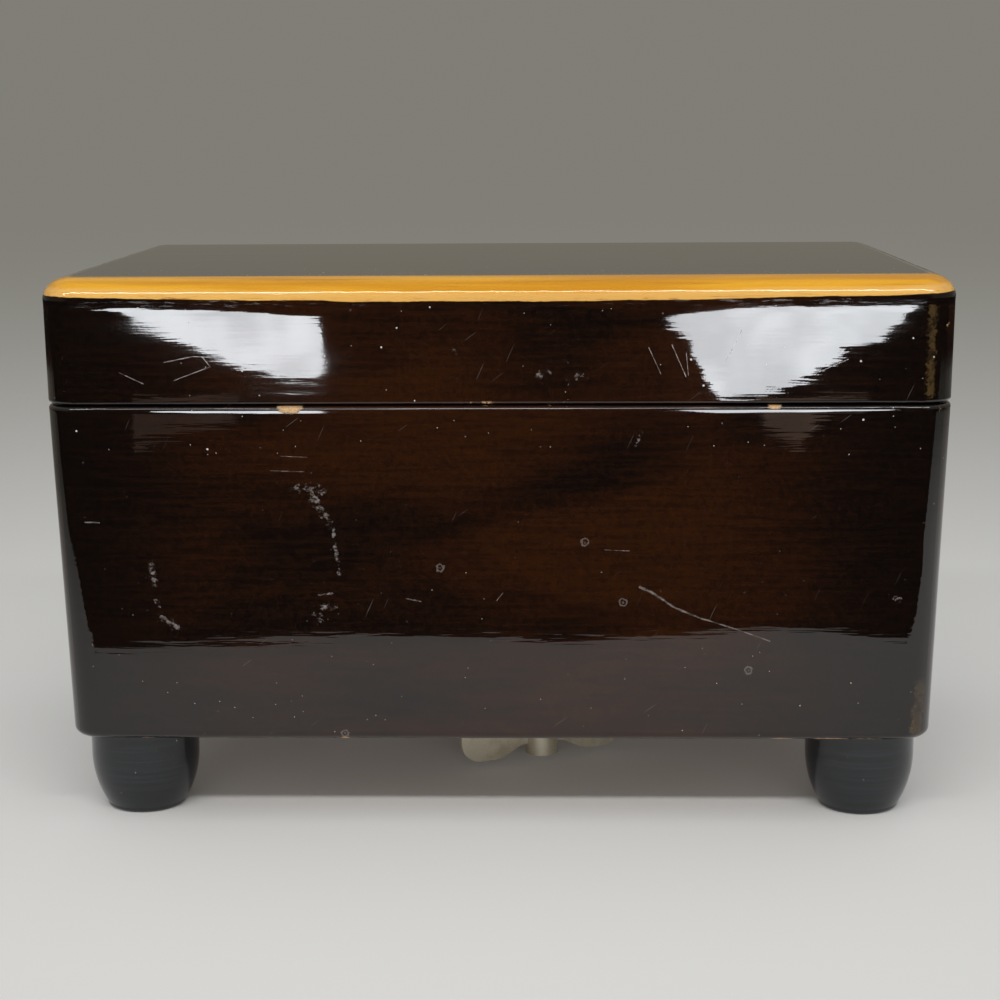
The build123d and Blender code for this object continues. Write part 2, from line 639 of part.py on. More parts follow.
def winding_key():
    """A collar with two flat rounded wings, screwed onto the lower end of the arbor."""
    top = BODY_Z - KEY_TOP_GAP
    collar = upright(0, 0, KEY_FLOOR, top, KEY_COLLAR_R)
    waist_low, waist_high = WING_FLOOR + WAIST_UP, top - WAIST_DOWN
    waist_x = KEY_COLLAR_R + WAIST_OUT
    wing_top = top - WING_DROP
    wing = [
        (0, waist_low),
        (waist_x, waist_low),
        (KEY_SHOULDER, WING_FLOOR),
        (KEY_SPAN, WING_FLOOR),
        (KEY_SPAN, wing_top),
        (KEY_SHOULDER, wing_top),
        (waist_x, waist_high),
        (0, waist_high),
    ]
    plate = extrude(Plane.XZ * Polygon(*wing, align=None), KEY_T / 2, both=True)
    plate = fillet(plate.edges().filter_by(Axis.Y).group_by(Axis.X)[-1], WING_TIP_ROUND)
    bends = plate.edges().filter_by(Axis.Y).group_by(Axis.X)[1:3]
    plate = fillet(bends[0] + bends[1], WING_BEND_ROUND)
    key = collar + plate + Rot(0, 0, 180) * plate
    key -= upright(0, 0, SHANK_Z - KEY_SHANK_PLAY, top + PAST, KEY_SHANK_R + SNUG)
    return Pos(KEY_X, KEY_Y, 0) * Rot(0, 0, KEY_ANGLE) * key


def ratchet_wheel():
    points = []
    for i in range(RATCHET_TEETH):
        for radius, step in ((RATCHET_R - RATCHET_DEPTH, -RATCHET_STEEP), (RATCHET_R, 0.0)):
            turn = 2 * pi * (i + step) / RATCHET_TEETH
            points.append((radius * cos(turn), radius * sin(turn)))
    wheel = extrude(Polygon(*points, align=None), RATCHET_T)
    wheel -= upright(0, 0, -PAST, RATCHET_T + PAST, ARBOR_R + SNUG)
    return Pos(KEY_X, KEY_Y, RATCHET_Z) * wheel


def crown_wheel():
    """The contrate wheel: teeth stand up round its edge and drive the cylinder's pinion."""
    disc = upright(0, 0, 0, CROWN_T, CROWN_R + CROWN_FACE_W / 2 + CROWN_RIM)
    disc -= upright(0, 0, -PAST, CROWN_T + PAST, ARBOR_R + RUNNING)
    depth, rise = DEDENDUM * DRIVE_MODULE, DRIVE_MODULE
    half = (pi * DRIVE_MODULE / 2 - DRIVE_BACKLASH) / 2
    lean = tan(PRESSURE_ANGLE)
    root, tip = half + depth * lean, half - rise * lean
    sunk = CROWN_T / 8
    outline = [(-root, -sunk), (root, -sunk), (root, 0), (tip, depth + rise), (-tip, depth + rise), (-root, 0)]
    tooth = extrude(Plane.YZ * Polygon(*outline, align=None), CROWN_FACE_W)
    teeth = []
    for i in range(CROWN_TEETH):
        turn = Rot(0, 0, 360 * (i + 0.5) / CROWN_TEETH)
        teeth.append(turn * Pos(CROWN_R - CROWN_FACE_W / 2, 0, CROWN_T) * tooth)
    return Pos(KEY_X, KEY_Y, CROWN_Z) * (disc + teeth)


def click_parts():
    """The click that lets the key turn one way, with its screw and its wire spring."""
    tip_r = RATCHET_R + TIP_GAP
    tip_x, tip_y = tip_r * cos(CLICK_TIP_TURN), tip_r * sin(CLICK_TIP_TURN)
    pawl = [
        (tip_x, tip_y),
        (CLICK_X, CLICK_Y - CLICK_ROOT_FRONT),
        (CLICK_X, CLICK_Y + CLICK_ROOT_BACK),
        (tip_x - CLICK_TIP_T, tip_y + CLICK_TIP_T),
    ]
    click = extrude(Polygon(*pawl, align=None), RATCHET_T, dir=(0, 0, 1))
    click += upright(CLICK_X, CLICK_Y, 0, RATCHET_T, CLICK_EYE_R)
    click -= upright(CLICK_X, CLICK_Y, -PAST, RATCHET_T + PAST, CLICK_PIN_R + SNUG)
    screw = upright(CLICK_X, CLICK_Y, -LIFT, RATCHET_T, CLICK_PIN_R)
    screw += upright(CLICK_X, CLICK_Y, RATCHET_T, RATCHET_T + CLICK_HEAD_T, CLICK_HEAD_R)
    bow = ThreePointArc(CLICK_SPRING_FOOT, CLICK_SPRING_BOW, CLICK_SPRING_TIP)
    spring = extrude(trace(bow, CLICK_SPRING_T), CLICK_SPRING_H, dir=(0, 0, 1))
    spring += upright(*CLICK_SPRING_FOOT, -LIFT, CLICK_SPRING_H, CLICK_SPRING_FOOT_R)
    place = Pos(KEY_X, KEY_Y, RATCHET_Z)
    return {"click": place * click, "click_screw": place * screw, "click_spring": place * spring}


def involute(angle):
    return tan(angle) - angle


def gear_face(teeth, module, backlash, phase):
    """A spur gear's outline with involute flanks, its first tooth at phase radians."""
    pitch_r = module * teeth / 2
    base_r = pitch_r * cos(PRESSURE_ANGLE)
    root_r = pitch_r - DEDENDUM * module
    tip_r = pitch_r + module
    middle = (pi * module / 2 - backlash) / (2 * pitch_r) + involute(PRESSURE_ANGLE)
    flank = []
    for radius in (root_r, max(base_r, root_r + SNUG), pitch_r, tip_r):
        flank.append((radius, middle - involute(acos(min(1.0, base_r / radius)))))
    points = []
    for i in range(teeth):
        centre = phase + 2 * pi * i / teeth
        sides = [(r, centre - half) for r, half in flank]
        sides += [(r, centre + half) for r, half in reversed(flank)]
        points += [(r * cos(turn), r * sin(turn)) for r, turn in sides]
    return Polygon(*points, align=None)


def gear_on_x(face, x, thickness, y, z, bore):
    """A gear outline, drawn with Y and Z as its axes, as a wheel along X from x."""
    wheel = extrude(Plane.YZ * face, thickness)
    wheel -= level(-PAST, thickness + PAST, 0, 0, bore)
    return Pos(x, y, z) * wheel


def cylinder_pinion():
    face = gear_face(PINION_TEETH, DRIVE_MODULE, DRIVE_BACKLASH, -pi / 2)
    return gear_on_x(face, PINION_X - PINION_T / 2, PINION_T, KEY_Y, CYLINDER_Z, PIVOT_R + SNUG)


def cylinder_wheel():
    face = gear_face(CYLINDER_WHEEL_TEETH, TRAIN_MODULE, TRAIN_BACKLASH, idler_direction())
    return gear_on_x(face, CYLINDER_END - WHEEL_T, WHEEL_T, KEY_Y, CYLINDER_Z, CYLINDER_ARBOR_R + SNUG)


def idler_direction():
    """The direction from the cylinder's axis to the idler's, in the plane across both."""
    return pi + asin(IDLER_DOWN / IDLER_REACH)


def cylinder_arbor():
    bar = level(CYLINDER_END - WHEEL_T, CYLINDER_X, KEY_Y, CYLINDER_Z, CYLINDER_ARBOR_R)
    return bar + level(CHEEK_X, PINION_X + PINION_T / 2 + PIVOT_END, KEY_Y, CYLINDER_Z, PIVOT_R)


def track_x(tine):
    return COMB_X - TINE_PITCH * (tine + 0.5)


def pinned_cylinder():
    """The brass barrel, with one ring of short pins under each tine of the comb."""
    inner_end, inner_x = CYLINDER_END + CYLINDER_CAP_T, CYLINDER_X - CYLINDER_CAP_T
    drum = level(CYLINDER_END, CYLINDER_X, KEY_Y, CYLINDER_Z, CYLINDER_R)
    drum -= level(inner_end, inner_x, KEY_Y, CYLINDER_Z, CYLINDER_R - CYLINDER_WALL)
    drum -= level(CYLINDER_END - PAST, CYLINDER_X + PAST, KEY_Y, CYLINDER_Z, CYLINDER_ARBOR_R + SNUG)
    pin = Pos(0, 0, CYLINDER_R + (PIN_H - PIN_SUNK) / 2) * Box(PIN_W, PIN_W, PIN_H + PIN_SUNK)
    pins = []
    for tine in range(TINES):
        for beat in range(PINS_PER_TRACK):
            turn = 360 * beat / PINS_PER_TRACK + TRACK_TURN * tine + BEAT_SHIFT * (beat * (tine + 2) % 4)
            pins.append(Pos(track_x(tine), KEY_Y, CYLINDER_Z) * Rot(turn, 0, 0) * pin)
    return drum + pins


def comb():
    """The steel comb: slots of a falling length leave tines from long bass to short treble."""
    low, high = COMB_Z - PAST, COMB_TOP + PAST
    plate = block(COMB_LEFT, COMB_X, TIP_Y, COMB_BACK, COMB_Z, COMB_TOP)
    slots = []
    for i in range(1, TINES):
        length = SHORT_TINE + (LONG_TINE - SHORT_TINE) * i / TINES
        x = COMB_X - TINE_PITCH * i
        slots.append(block(x - SLOT_W / 2, x + SLOT_W / 2, TIP_Y - PAST, TIP_Y + length, low, high))
    for x in COMB_SCREWS:
        slots.append(upright(x, COMB_SCREW_Y, low, high, COMB_SCREW_R + HOLE_PLAY))
    return plate - slots


def comb_weights():
    """Lead weights under the tips of the longest tines."""
    half = (TINE_PITCH - SLOT_W) / 2
    near = TIP_Y + WEIGHT_FROM_TIP
    weights = []
    for i in range(WEIGHTED_TINES):
        x = track_x(TINES - 1 - i)
        height = WEIGHT_H - WEIGHT_STEP * i
        weights.append(block(x - half, x + half, near, near + WEIGHT_L, COMB_Z - height, COMB_Z))
    return weights


def cheese_screw(x, y, z, radius, head_r, head_t, length):
    """A slotted screw pointing down, with the underside of its head at z."""
    screw = upright(x, y, z - length, z, radius) + upright(x, y, z, z + head_t, head_r)
    reach, half = head_r + PAST, SCREW_SLOT_W / 2
    return screw - block(x - reach, x + reach, y - half, y + half, z + head_t / 2, z + head_t + PAST)


def comb_screws():
    sizes = (COMB_SCREW_R, COMB_SCREW_HEAD_R, COMB_SCREW_HEAD_T, COMB_SCREW_L)
    return [cheese_screw(x, COMB_SCREW_Y, COMB_TOP, *sizes) for x in COMB_SCREWS]


def bracket_screws():
    sizes = (SMALL_R, SMALL_HEAD_R, SMALL_HEAD_T, FRAME_T + BED_T - SCREW_SHORT)
    return [cheese_screw(x, y, FRAME_Z, *sizes) for x, y in (POST_SCREW, FRAME_SCREW)]


def movement_screws():
    """Three screws that come up through the bottom panel into the bedplate."""
    sizes = (FIX_R, FIX_HEAD_R, FIX_HEAD_T, BOTTOM_T + BED_T - SCREW_SHORT)
    return [Pos(x, y, BODY_Z) * Rot(180, 0, 0) * cheese_screw(0, 0, 0, *sizes) for x, y in FIXINGS]


def cylinder_post():
    """The bent bracket that carries the cylinder's pivot beside its pinion."""
    top = CYLINDER_Z + POST_TOP
    side = [
        (POST_X + POST_T, BED_Z),
        (POST_X + POST_T, top),
        (POST_X, top),
        (POST_X, FRAME_Z),
        (POST_X - POST_FOOT_L, FRAME_Z),
        (POST_X - POST_FOOT_L, BED_Z),
    ]
    bracket = extrude(Plane.XZ * Polygon(*side, align=None), POST_W / 2, both=True)
    bracket = Pos(0, KEY_Y, 0) * bracket
    bracket = fillet(bracket.edges().filter_by(Axis.X).group_by(Axis.Z)[-1], POST_ROUND)
    bracket -= level(POST_X - PAST, POST_X + POST_T + PAST, KEY_Y, CYLINDER_Z, PIVOT_R + RUNNING)
    return bracket - upright(*POST_SCREW, BED_Z - PAST, FRAME_Z + PAST, SMALL_R + HOLE_PLAY)


def governor_frame():
    """Foot, two cheeks and a top arm that hold the idler, the worm spindle and the plunger."""
    cheek_front = IDLER_Y - CHEEK_FRONT
    cheek_back = KEY_Y - CHEEK_BACK
    foot_front, foot_back = PLUNGER_Y - FRAME_MARGIN, FRAME_SCREW[1] + CHEEK_BACK
    inner_x = CHEEK_X + FRAME_T
    frame = block(PLUNGER_X - FRAME_MARGIN, inner_x, foot_front, foot_back, BED_Z, FRAME_Z)
    inner = [
        (cheek_front, BED_Z),
        (foot_back, BED_Z),
        (foot_back, CYLINDER_Z + CHEEK_TOP),
        (cheek_back, ARM_TOP),
        (cheek_front, ARM_TOP),
    ]
    frame += Pos(CHEEK_X, 0, 0) * extrude(Plane.YZ * Polygon(*inner, align=None), FRAME_T)
    outer_front = IDLER_Y - OUTER_EYE
    outer = [
        (outer_front, BED_Z),
        (outer_front + OUTER_FOOT_L, BED_Z),
        (IDLER_Y + OUTER_EYE, IDLER_Z + OUTER_EYE),
        (outer_front, IDLER_Z + OUTER_EYE),
    ]
    frame += Pos(OUTER_CHEEK_X - FRAME_T, 0, 0) * extrude(Plane.YZ * Polygon(*outer, align=None), FRAME_T)
    left, right = PLUNGER_X - FRAME_MARGIN, PLUNGER_X + FRAME_MARGIN
    front, back = PLUNGER_Y - FRAME_MARGIN, PLUNGER_Y + FRAME_MARGIN
    arm = [
        (inner_x, cheek_front),
        (inner_x, cheek_back),
        (CHEEK_X - ARM_NECK, cheek_back),
        (left, back),
        (left, front),
        (right, front),
    ]
    frame += Pos(0, 0, ARM_Z) * extrude(Polygon(*arm, align=None), FRAME_T, dir=(0, 0, 1))
    low, high = BED_Z - PAST, ARM_TOP + PAST
    frame -= level(CHEEK_X - PAST, inner_x + PAST, KEY_Y, CYLINDER_Z, PIVOT_R + RUNNING)
    frame -= level(OUTER_CHEEK_X - 2 * FRAME_T, inner_x + PAST, IDLER_Y, IDLER_Z, IDLER_ARBOR_R + RUNNING)
    frame -= upright(WORM_X, WORM_Y, low, high, SPINDLE_PIVOT_R + RUNNING)
    frame -= upright(PLUNGER_X, PLUNGER_Y, low, high, PLUNGER_R + RUNNING)
    return frame - upright(*FRAME_SCREW, low, FRAME_Z + PAST, SMALL_R + HOLE_PLAY)


def idler_pinion():
    """The idler's arbor and pinion, cut from one piece of steel."""
    back = idler_direction() + pi
    face = gear_face(IDLER_PINION_TEETH, TRAIN_MODULE, TRAIN_BACKLASH, back + pi / IDLER_PINION_TEETH)
    x = CYLINDER_END - WHEEL_T / 2 - IDLER_PINION_T / 2
    pinion = Pos(x, IDLER_Y, IDLER_Z) * extrude(Plane.YZ * face, IDLER_PINION_T)
    return pinion + level(OUTER_CHEEK_X - FRAME_T, x + IDLER_PINION_T, IDLER_Y, IDLER_Z, IDLER_ARBOR_R)


def idler_wheel():
    face = gear_face(IDLER_WHEEL_TEETH, TRAIN_MODULE, WORM_BACKLASH, pi)
    x = WORM_X - IDLER_WHEEL_T / 2
    wheel = gear_on_x(face, x, IDLER_WHEEL_T, IDLER_Y, IDLER_Z, IDLER_ARBOR_R + SNUG)
    hub = level(x, WORM_X + IDLER_HUB_L, IDLER_Y, IDLER_Z, IDLER_HUB_R)
    hub -= level(x - PAST, WORM_X + IDLER_HUB_L + PAST, IDLER_Y, IDLER_Z, IDLER_ARBOR_R + SNUG)
    return wheel + hub


def governor_spindle():
    """The endless screw: a right-hand thread, placed so that a gap faces the idler's tooth."""
    depth, rise = WORM_DEPTH * TRAIN_MODULE, WORM_RISE * TRAIN_MODULE
    half = WORM_LEAD / 4 - WORM_THIN
    lean = tan(PRESSURE_ANGLE)
    root, tip = half + depth * lean, half - rise * lean
    inner, outer = WORM_R - depth - WORM_SUNK, WORM_R + rise
    length = WORM_LEAD * WORM_TURNS
    path = Helix(WORM_LEAD, length, WORM_R)
    profile = Plane.XZ * Polygon((inner, -root), (outer, -tip), (outer, tip), (inner, root), align=None)
    thread = sweep(profile, path, is_frenet=True)
    worm = thread + upright(0, 0, -WORM_END, length + WORM_END, WORM_R - depth)
    turn = 90 + 180 - 360 * (WORM_TURNS / 2 % 1)
    worm = Pos(WORM_X, WORM_Y, IDLER_Z - length / 2) * Rot(0, 0, turn) * worm
    worm += upright(WORM_X, WORM_Y, FRAME_Z + LIFT, ARM_Z - LIFT, SPINDLE_R)
    return worm + upright(WORM_X, WORM_Y, BED_Z + LIFT, ARM_TOP - LIFT, SPINDLE_PIVOT_R)


def governor_fan():
    """A hub with two flat wings, the air brake of the governor."""
    wings = Box(2 * FAN_R, FAN_T, FAN_H)
    wings -= Pos(0, 0, -FAN_H / 2) * Box(2 * FAN_NOTCH_R, 2 * FAN_T, 2 * FAN_NOTCH_H)
    fan = wings + Cylinder(HUB_R, FAN_H) - Cylinder(SPINDLE_R + SNUG, 2 * FAN_H)
    return Pos(WORM_X, WORM_Y, FAN_Z + FAN_H / 2) * Rot(0, 0, FAN_TURN) * fan


def stop_plunger():
    """The rod that the closed lid holds down, with a finger that ends just short of the fan."""
    rod = upright(PLUNGER_X, PLUNGER_Y, FLOOR_Z + LIFT, PLUNGER_TOP, PLUNGER_R)
    rod = fillet(rod.edges().group_by(Axis.Z)[-1], PLUNGER_ROUND)
    collar_z = FRAME_Z + COIL_H
    rod += upright(PLUNGER_X, PLUNGER_Y, collar_z, collar_z + PLUNGER_COLLAR_T, PLUNGER_COLLAR_R)
    reach = hypot(PLUNGER_DX, PLUNGER_DY) - FAN_R - LIFT
    finger_z = ARM_Z - LIFT - PLUNGER_TRAVEL - FINGER_T
    finger = block(0, reach, -FINGER_W / 2, FINGER_W / 2, 0, FINGER_T)
    aim = degrees(atan(PLUNGER_DY / PLUNGER_DX))
    return rod + Pos(PLUNGER_X, PLUNGER_Y, finger_z) * Rot(0, 0, aim) * finger


def helix_point(radius, pitch, turn):
    """A point of a helix about Z and its direction there, after turn radians."""
    along = Vector(-radius * sin(turn), radius * cos(turn), pitch / (2 * pi))
    return Vector(radius * cos(turn), radius * sin(turn), pitch * turn / (2 * pi)), along.normalized()


def coil_path(radius, pitch, turns):
    """A helix drawn as two arcs for each quarter turn, every arc tangent to the next."""
    edges = []
    for quarter in range(4 * turns):
        start, out = helix_point(radius, pitch, quarter * pi / 2)
        end, into = helix_point(radius, pitch, (quarter + 1) * pi / 2)
        chord = end - start
        spread = 2 * (1 - out.dot(into))
        reach = chord.dot(out + into)
        reach = (sqrt(reach**2 + spread * chord.dot(chord)) - reach) / spread
        join = (start + end + (out - into) * reach) / 2
        edges.append(TangentArc(start, join, tangent=out))
        edges.append(TangentArc(join, end, tangent=edges[-1] % 1))
    return Wire(edges)


def least_turn_gap(path, turns, wire_r):
    """The least gap between turns of a coil, measured on points a twelfth of a turn apart."""
    steps = 12 * turns
    points = [path @ (i / steps) for i in range(steps + 1)]
    gaps = [(points[j] - points[i]).length for i in range(steps) for j in range(i + 6, steps + 1)]
    return min(gaps) - 2 * wire_r


def plunger_spring():
    """An unbroken coil of wire between the governor's foot and the plunger's collar."""
    rise = COIL_H - 2 * WIRE_R - 2 * COIL_SEAT
    path = coil_path(COIL_R, rise / COIL_TURNS, COIL_TURNS)
    section = Plane(origin=path @ 0, z_dir=path % 0) * Circle(WIRE_R)
    print(f"plunger spring: least gap {least_turn_gap(path, COIL_TURNS, WIRE_R):.2f} mm")
    return Pos(PLUNGER_X, PLUNGER_Y, FRAME_Z + WIRE_R + COIL_SEAT) * sweep(section, path)


def all_parts():
    parts = {}
    parts.update(body_boards())
    parts["bottom_panel"] = bottom_panel()
    for name, (x, y) in foot_places().items():
        parts[name] = foot(x, y)
    for name, side in (("left", -1), ("right", 1)):
        parts[f"partition_{name}"] = partition(side)
        parts[f"{name}_well_lining"] = well_walls(side)
        parts[f"{name}_well_pad"] = well_pad(side)
        parts.update(hinge_parts(f"hinge_{name}", side * HINGE_X))
    parts["glass_cleats"] = glass_cleats()
    parts["glass_pane"] = glass_pane()
    parts.update(lid_boards())
    parts["lid_panel"] = lid_panel()
    parts["lid_rim"] = lid_rim()
    parts["mirror"] = mirror()
    parts["lid_lining"] = lid_lining()
    parts["hinge_screws_case"] = [place * wood_screw() for place in hinge_screw_places(SEAM_Z, False)]
    parts["hinge_screws_lid"] = [place * wood_screw() for place in hinge_screw_places(LID_Z, True)]
    parts["bedplate"] = bedplate()
    parts["spring_barrel"] = spring_barrel()
    parts["mainspring"] = mainspring()
    parts["cylinder_post"] = cylinder_post()
    parts["governor_frame"] = governor_frame()
    parts["comb"] = comb()
    parts["comb_weights"] = comb_weights()
    parts["comb_screws"] = comb_screws()
    parts["bracket_screws"] = bracket_screws()
    parts["movement_screws"] = movement_screws()
    parts["winding_arbor"] = winding_arbor()
    parts["winding_key"] = winding_key()
    parts["ratchet_wheel"] = ratchet_wheel()
    parts["crown_wheel"] = crown_wheel()
    parts.update(click_parts())
    parts["pinned_cylinder"] = pinned_cylinder()
    parts["cylinder_arbor"] = cylinder_arbor()
    parts["cylinder_pinion"] = cylinder_pinion()
    parts["cylinder_wheel"] = cylinder_wheel()
    parts["idler_pinion"] = idler_pinion()
    parts["idler_wheel"] = idler_wheel()
    parts["governor_spindle"] = governor_spindle()
    parts["governor_fan"] = governor_fan()
    parts["stop_plunger"] = stop_plunger()
    parts["plunger_spring"] = plunger_spring()
    return parts


os.makedirs("parts", exist_ok=True)
for node, shape in all_parts().items():
    if isinstance(shape, list):
        shape = Compound(children=[piece.solid() for piece in shape])
    export_step(shape, f"parts/{node}.step")
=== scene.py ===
"""Lacquered music box in a plain pale studio: materials, velvet pieces, lights and camera."""
import math

import bmesh
import bpy
from mathutils import Matrix, Vector, noise


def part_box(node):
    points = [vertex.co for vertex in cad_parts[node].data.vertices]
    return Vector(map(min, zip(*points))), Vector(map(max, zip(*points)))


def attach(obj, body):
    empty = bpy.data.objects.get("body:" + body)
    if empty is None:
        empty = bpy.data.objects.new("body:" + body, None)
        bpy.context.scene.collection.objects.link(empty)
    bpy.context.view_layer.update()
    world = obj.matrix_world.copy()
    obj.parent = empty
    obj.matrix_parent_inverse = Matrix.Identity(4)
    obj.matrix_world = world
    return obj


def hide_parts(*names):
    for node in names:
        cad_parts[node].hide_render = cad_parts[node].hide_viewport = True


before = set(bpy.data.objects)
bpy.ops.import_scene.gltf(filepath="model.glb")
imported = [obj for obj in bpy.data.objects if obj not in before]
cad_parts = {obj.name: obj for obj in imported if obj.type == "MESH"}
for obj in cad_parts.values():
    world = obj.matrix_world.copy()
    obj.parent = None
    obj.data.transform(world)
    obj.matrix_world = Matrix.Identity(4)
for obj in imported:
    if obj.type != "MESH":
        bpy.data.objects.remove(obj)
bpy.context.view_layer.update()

# Lengths below are in millimetres unless a comment says otherwise
MM = 0.001

# Camera, found from the photograph's straight edges; angles in degrees
CAMERA_PLACE = (9.8, -398.55, 126.8)
CAMERA_PITCH = 10.78
CAMERA_YAW = -1.53
CAMERA_ROLL = -0.35
FOCAL_LENGTH = 72.25
SENSOR_WIDTH = 36.0

# Floor, and how it fades into the background with distance: painted shade, darker away from the
# box
FLOOR_COLOUR = (0.70, 0.69, 0.67)
BACKGROUND = (0.215, 0.208, 0.180)
WORLD_COLOUR = (0.96, 0.98, 1.0)
WORLD_LIGHT = 0.42
FLOOR_REACH = 4000.0
FADE_START = 40.0
FADE_LENGTH = 520.0

# The same floor as reflections see it, as painted shade: dimmer from NEAR to MIDDLE, dark beyond
# FAR
GLOSS_CENTRE = (80.0, 0.0, 0.0)
GLOSS_NEAR = 150.0
GLOSS_MIDDLE = 480.0
GLOSS_FAR = 640.0
GLOSS_EDGE = 760.0
GLOSS_DIM = (0.20, 0.20, 0.175)
GLOSS_DARK = (0.018, 0.017, 0.015)

# Painted shade: a dark sheet on the floor in front, seen by reflections alone, as (x, y)
SHADE_SHEET = (
    (-226, -152), (-272, -104), (-416, -50), (-593, -30), (-1200, 100),
    (-1500, -1500), (1500, -1500),
    (1200, -300), (560, -236), (400, -215), (222, -186), (205, -156),
    (150, -152), (104, -157), (66, -167), (20, -158), (-26, -162),
    (-62, -157), (-104, -150), (-160, -155),
)
SHADE_SHEET_LIFT = 0.3
SHADE_SHEET_COLOUR = (0.016, 0.014, 0.012)

# Outlines of the two bright windows that the lid mirrors, in pixels of the photograph
PHOTO_SIZE = 1000
LEFT_WINDOW = (
    (90, 302), (105, 304), (140, 307), (200, 308), (240, 311), (290, 315), (318, 316),
    (322, 335), (325, 365), (318, 376), (290, 378), (240, 365), (200, 347), (175, 334),
    (145, 322), (133, 317), (120, 311),
)
RIGHT_WINDOW = (
    (665, 316), (700, 312), (740, 306), (800, 306), (860, 304), (905, 302), (919, 302),
    (918, 306), (903, 315), (895, 322), (880, 338), (850, 345), (830, 360), (810, 372),
    (780, 385), (720, 396), (712, 385), (700, 362), (690, 335),
)

# Light cards that stand for them in front of the box, and two dim ones as (x, z)
CARD_Y = -351.0
CARD_REACH = 400.0
CARD_LIGHT = 16.5
CARD_COLOUR = (0.93, 0.96, 1.0)
LEFT_DIM_CARD = (
    (-127.4, 33.0), (-92.9, 32.9), (-92.5, 27.0), (-95.3, 22.0), (-94.2, 13.7), (-128.3, 5.0),
)
RIGHT_DIM_CARD = (
    (75.5, 32.5), (112.0, 32.4), (112.4, 20.0), (97.0, 13.4), (90.7, 5.0), (79.1, 10.1),
)
LEFT_DIM = (0.42, 0.29, 0.23)
RIGHT_DIM = (0.85, 0.60, 0.47)

# Lamps as (name, place, aim, size, power in watts, seen in gloss): a strip and two soft ones
LAMPS = (
    ("strip", (0, -800, 860), (0, 0, 60), (1500, 90), 7.5, True),
    ("overhead", (0, -60, 1500), (0, 0, 50), (1900, 1900), 8.5, False),
    ("low_front", (0, -1050, 130), (0, 0, 30), (1500, 200), 8.0, False),
)

# The room as reflections see it: strengths low, high and in front, and tints low and high
ROOM_LOW = 0.23
ROOM_HIGH = 0.50
ROOM_FRONT = 0.014
ROOM_LOW_TINT = (1.0, 0.92, 0.76)
ROOM_HIGH_TINT = (1.0, 0.98, 0.95)

# Sizes of the case, as in the CAD
HALF_W = 80.0
CASE_Y = -1.25
HALF_D = 50.0
FRONT_Y = -51.25
BODY_LOW = 16.0
BODY_HIGH = 77.4
LID_LOW = 77.7
LID_FRONT_Y = -51.35
LID_SLOPE = 0.0105
PANEL_FRONT = -46.6
# Above the lid boards' upper edge, which the rim hides and keeps unworn
LID_WEAR_HIGH = 96.8

# Amber band of the lid: heights of its painted lower line
BAND_MIDDLE = 95.65
BAND_END = 96.85
BAND_WAVE = 0.40
BAND_BLUR = 0.07
# Dark lacquer of the top runs over the rim above this height, but not at the front
OVERPAINT_Z = 98.7
# Slope by which the rim's lower part leans back, up to a height
RIM_LEAN = 0.055
RIM_LEAN_END = 97.0
# How far the lid's boards lean back between two heights, and the body's edges roll back
LEAN_DEPTH = 0.06
LEAN_LOW = 93.2
LEAN_HIGH = 96.8
ROLL_DEPTH = 0.050
# How strongly the lacquer's waves and streaks show
BODY_RELIEF = 1.9
LID_RELIEF = 1.0

# Marks on the front: strokes as (start, end, width) with (x, z) places
BODY_SCRATCHES = (
    ((25.3, 44.7), (27.6, 43.6), 0.46),
    ((27.6, 43.6), (31.5, 40.9), 0.42),
    ((31.5, 40.9), (36.0, 39.0), 0.36),
    ((36.0, 39.0), (42.6, 36.9), 0.26),
    ((42.6, 36.9), (48.6, 34.7), 0.20),
    ((-16.4, 42.6), (-13.7, 42.0), 0.20),
    ((-73.3, 56.6), (-70.8, 56.5), 0.24),
    ((-0.2, 42.2), (0.9, 43.6), 0.13),
    ((19.0, 51.5), (23.4, 51.3), 0.12),
    ((-38.0, 68.5), (-33.4, 68.3), 0.12),
    ((-40.0, 65.9), (-34.0, 65.7), 0.12),
)
BODY_FLAKES = (
    ((-35.8, 62.9), (-30.6, 62.2), 1.2),
    ((-32.4, 61.0), (-31.0, 58.4), 1.5),
    ((-30.4, 58.0), (-29.4, 55.4), 0.9),
    ((-29.2, 55.2), (-28.2, 47.0), 0.55),
    ((-31.4, 41.2), (-28.8, 40.6), 1.0),
    ((-32.6, 39.9), (-31.6, 38.6), 1.2),
    ((-32.0, 43.2), (-29.6, 43.5), 0.35),
    ((-61.9, 49.6), (-61.5, 45.2), 0.9),
    ((-61.4, 42.2), (-60.6, 41.2), 0.6),
    ((-60.4, 39.2), (-57.6, 37.4), 1.0),
    ((25.4, 72.6), (24.4, 70.4), 0.5),
    ((69.8, 43.0), (71.4, 42.4), 0.7),
)
BODY_RINGS = ((-10.2, 48.2), (15.5, 52.9), (22.3, 41.9), (44.8, 29.3), (-27.9, 17.3))
RING_RADIUS = 0.62
RING_LINE = 0.22
LID_SCRATCHES = (
    ((-58.0, 85.2), (-53.0, 86.2), 0.15),
    ((-53.0, 86.2), (-48.6, 86.0), 0.15),
    ((-51.2, 86.0), (-50.0, 84.4), 0.15),
    ((-50.0, 84.4), (-56.4, 82.0), 0.13),
    ((-66.0, 83.4), (-61.8, 81.4), 0.13),
    ((42.5, 90.5), (39.8, 85.0), 0.12),
    ((30.5, 88.0), (33.0, 82.4), 0.14),
    ((26.5, 87.5), (28.6, 83.0), 0.12),
    ((33.0, 86.6), (33.4, 82.6), 0.12),
    ((56.0, 83.2), (61.0, 85.4), 0.12),
)
LID_FLAKES = (
    ((7.2, 82.7), (9.2, 83.3), 0.9),
    ((12.8, 81.8), (14.6, 82.6), 0.9),
    ((-7.3, 87.4), (-6.9, 86.6), 0.5),
    ((16.2, 82.2), (17.2, 82.5), 0.5),
)
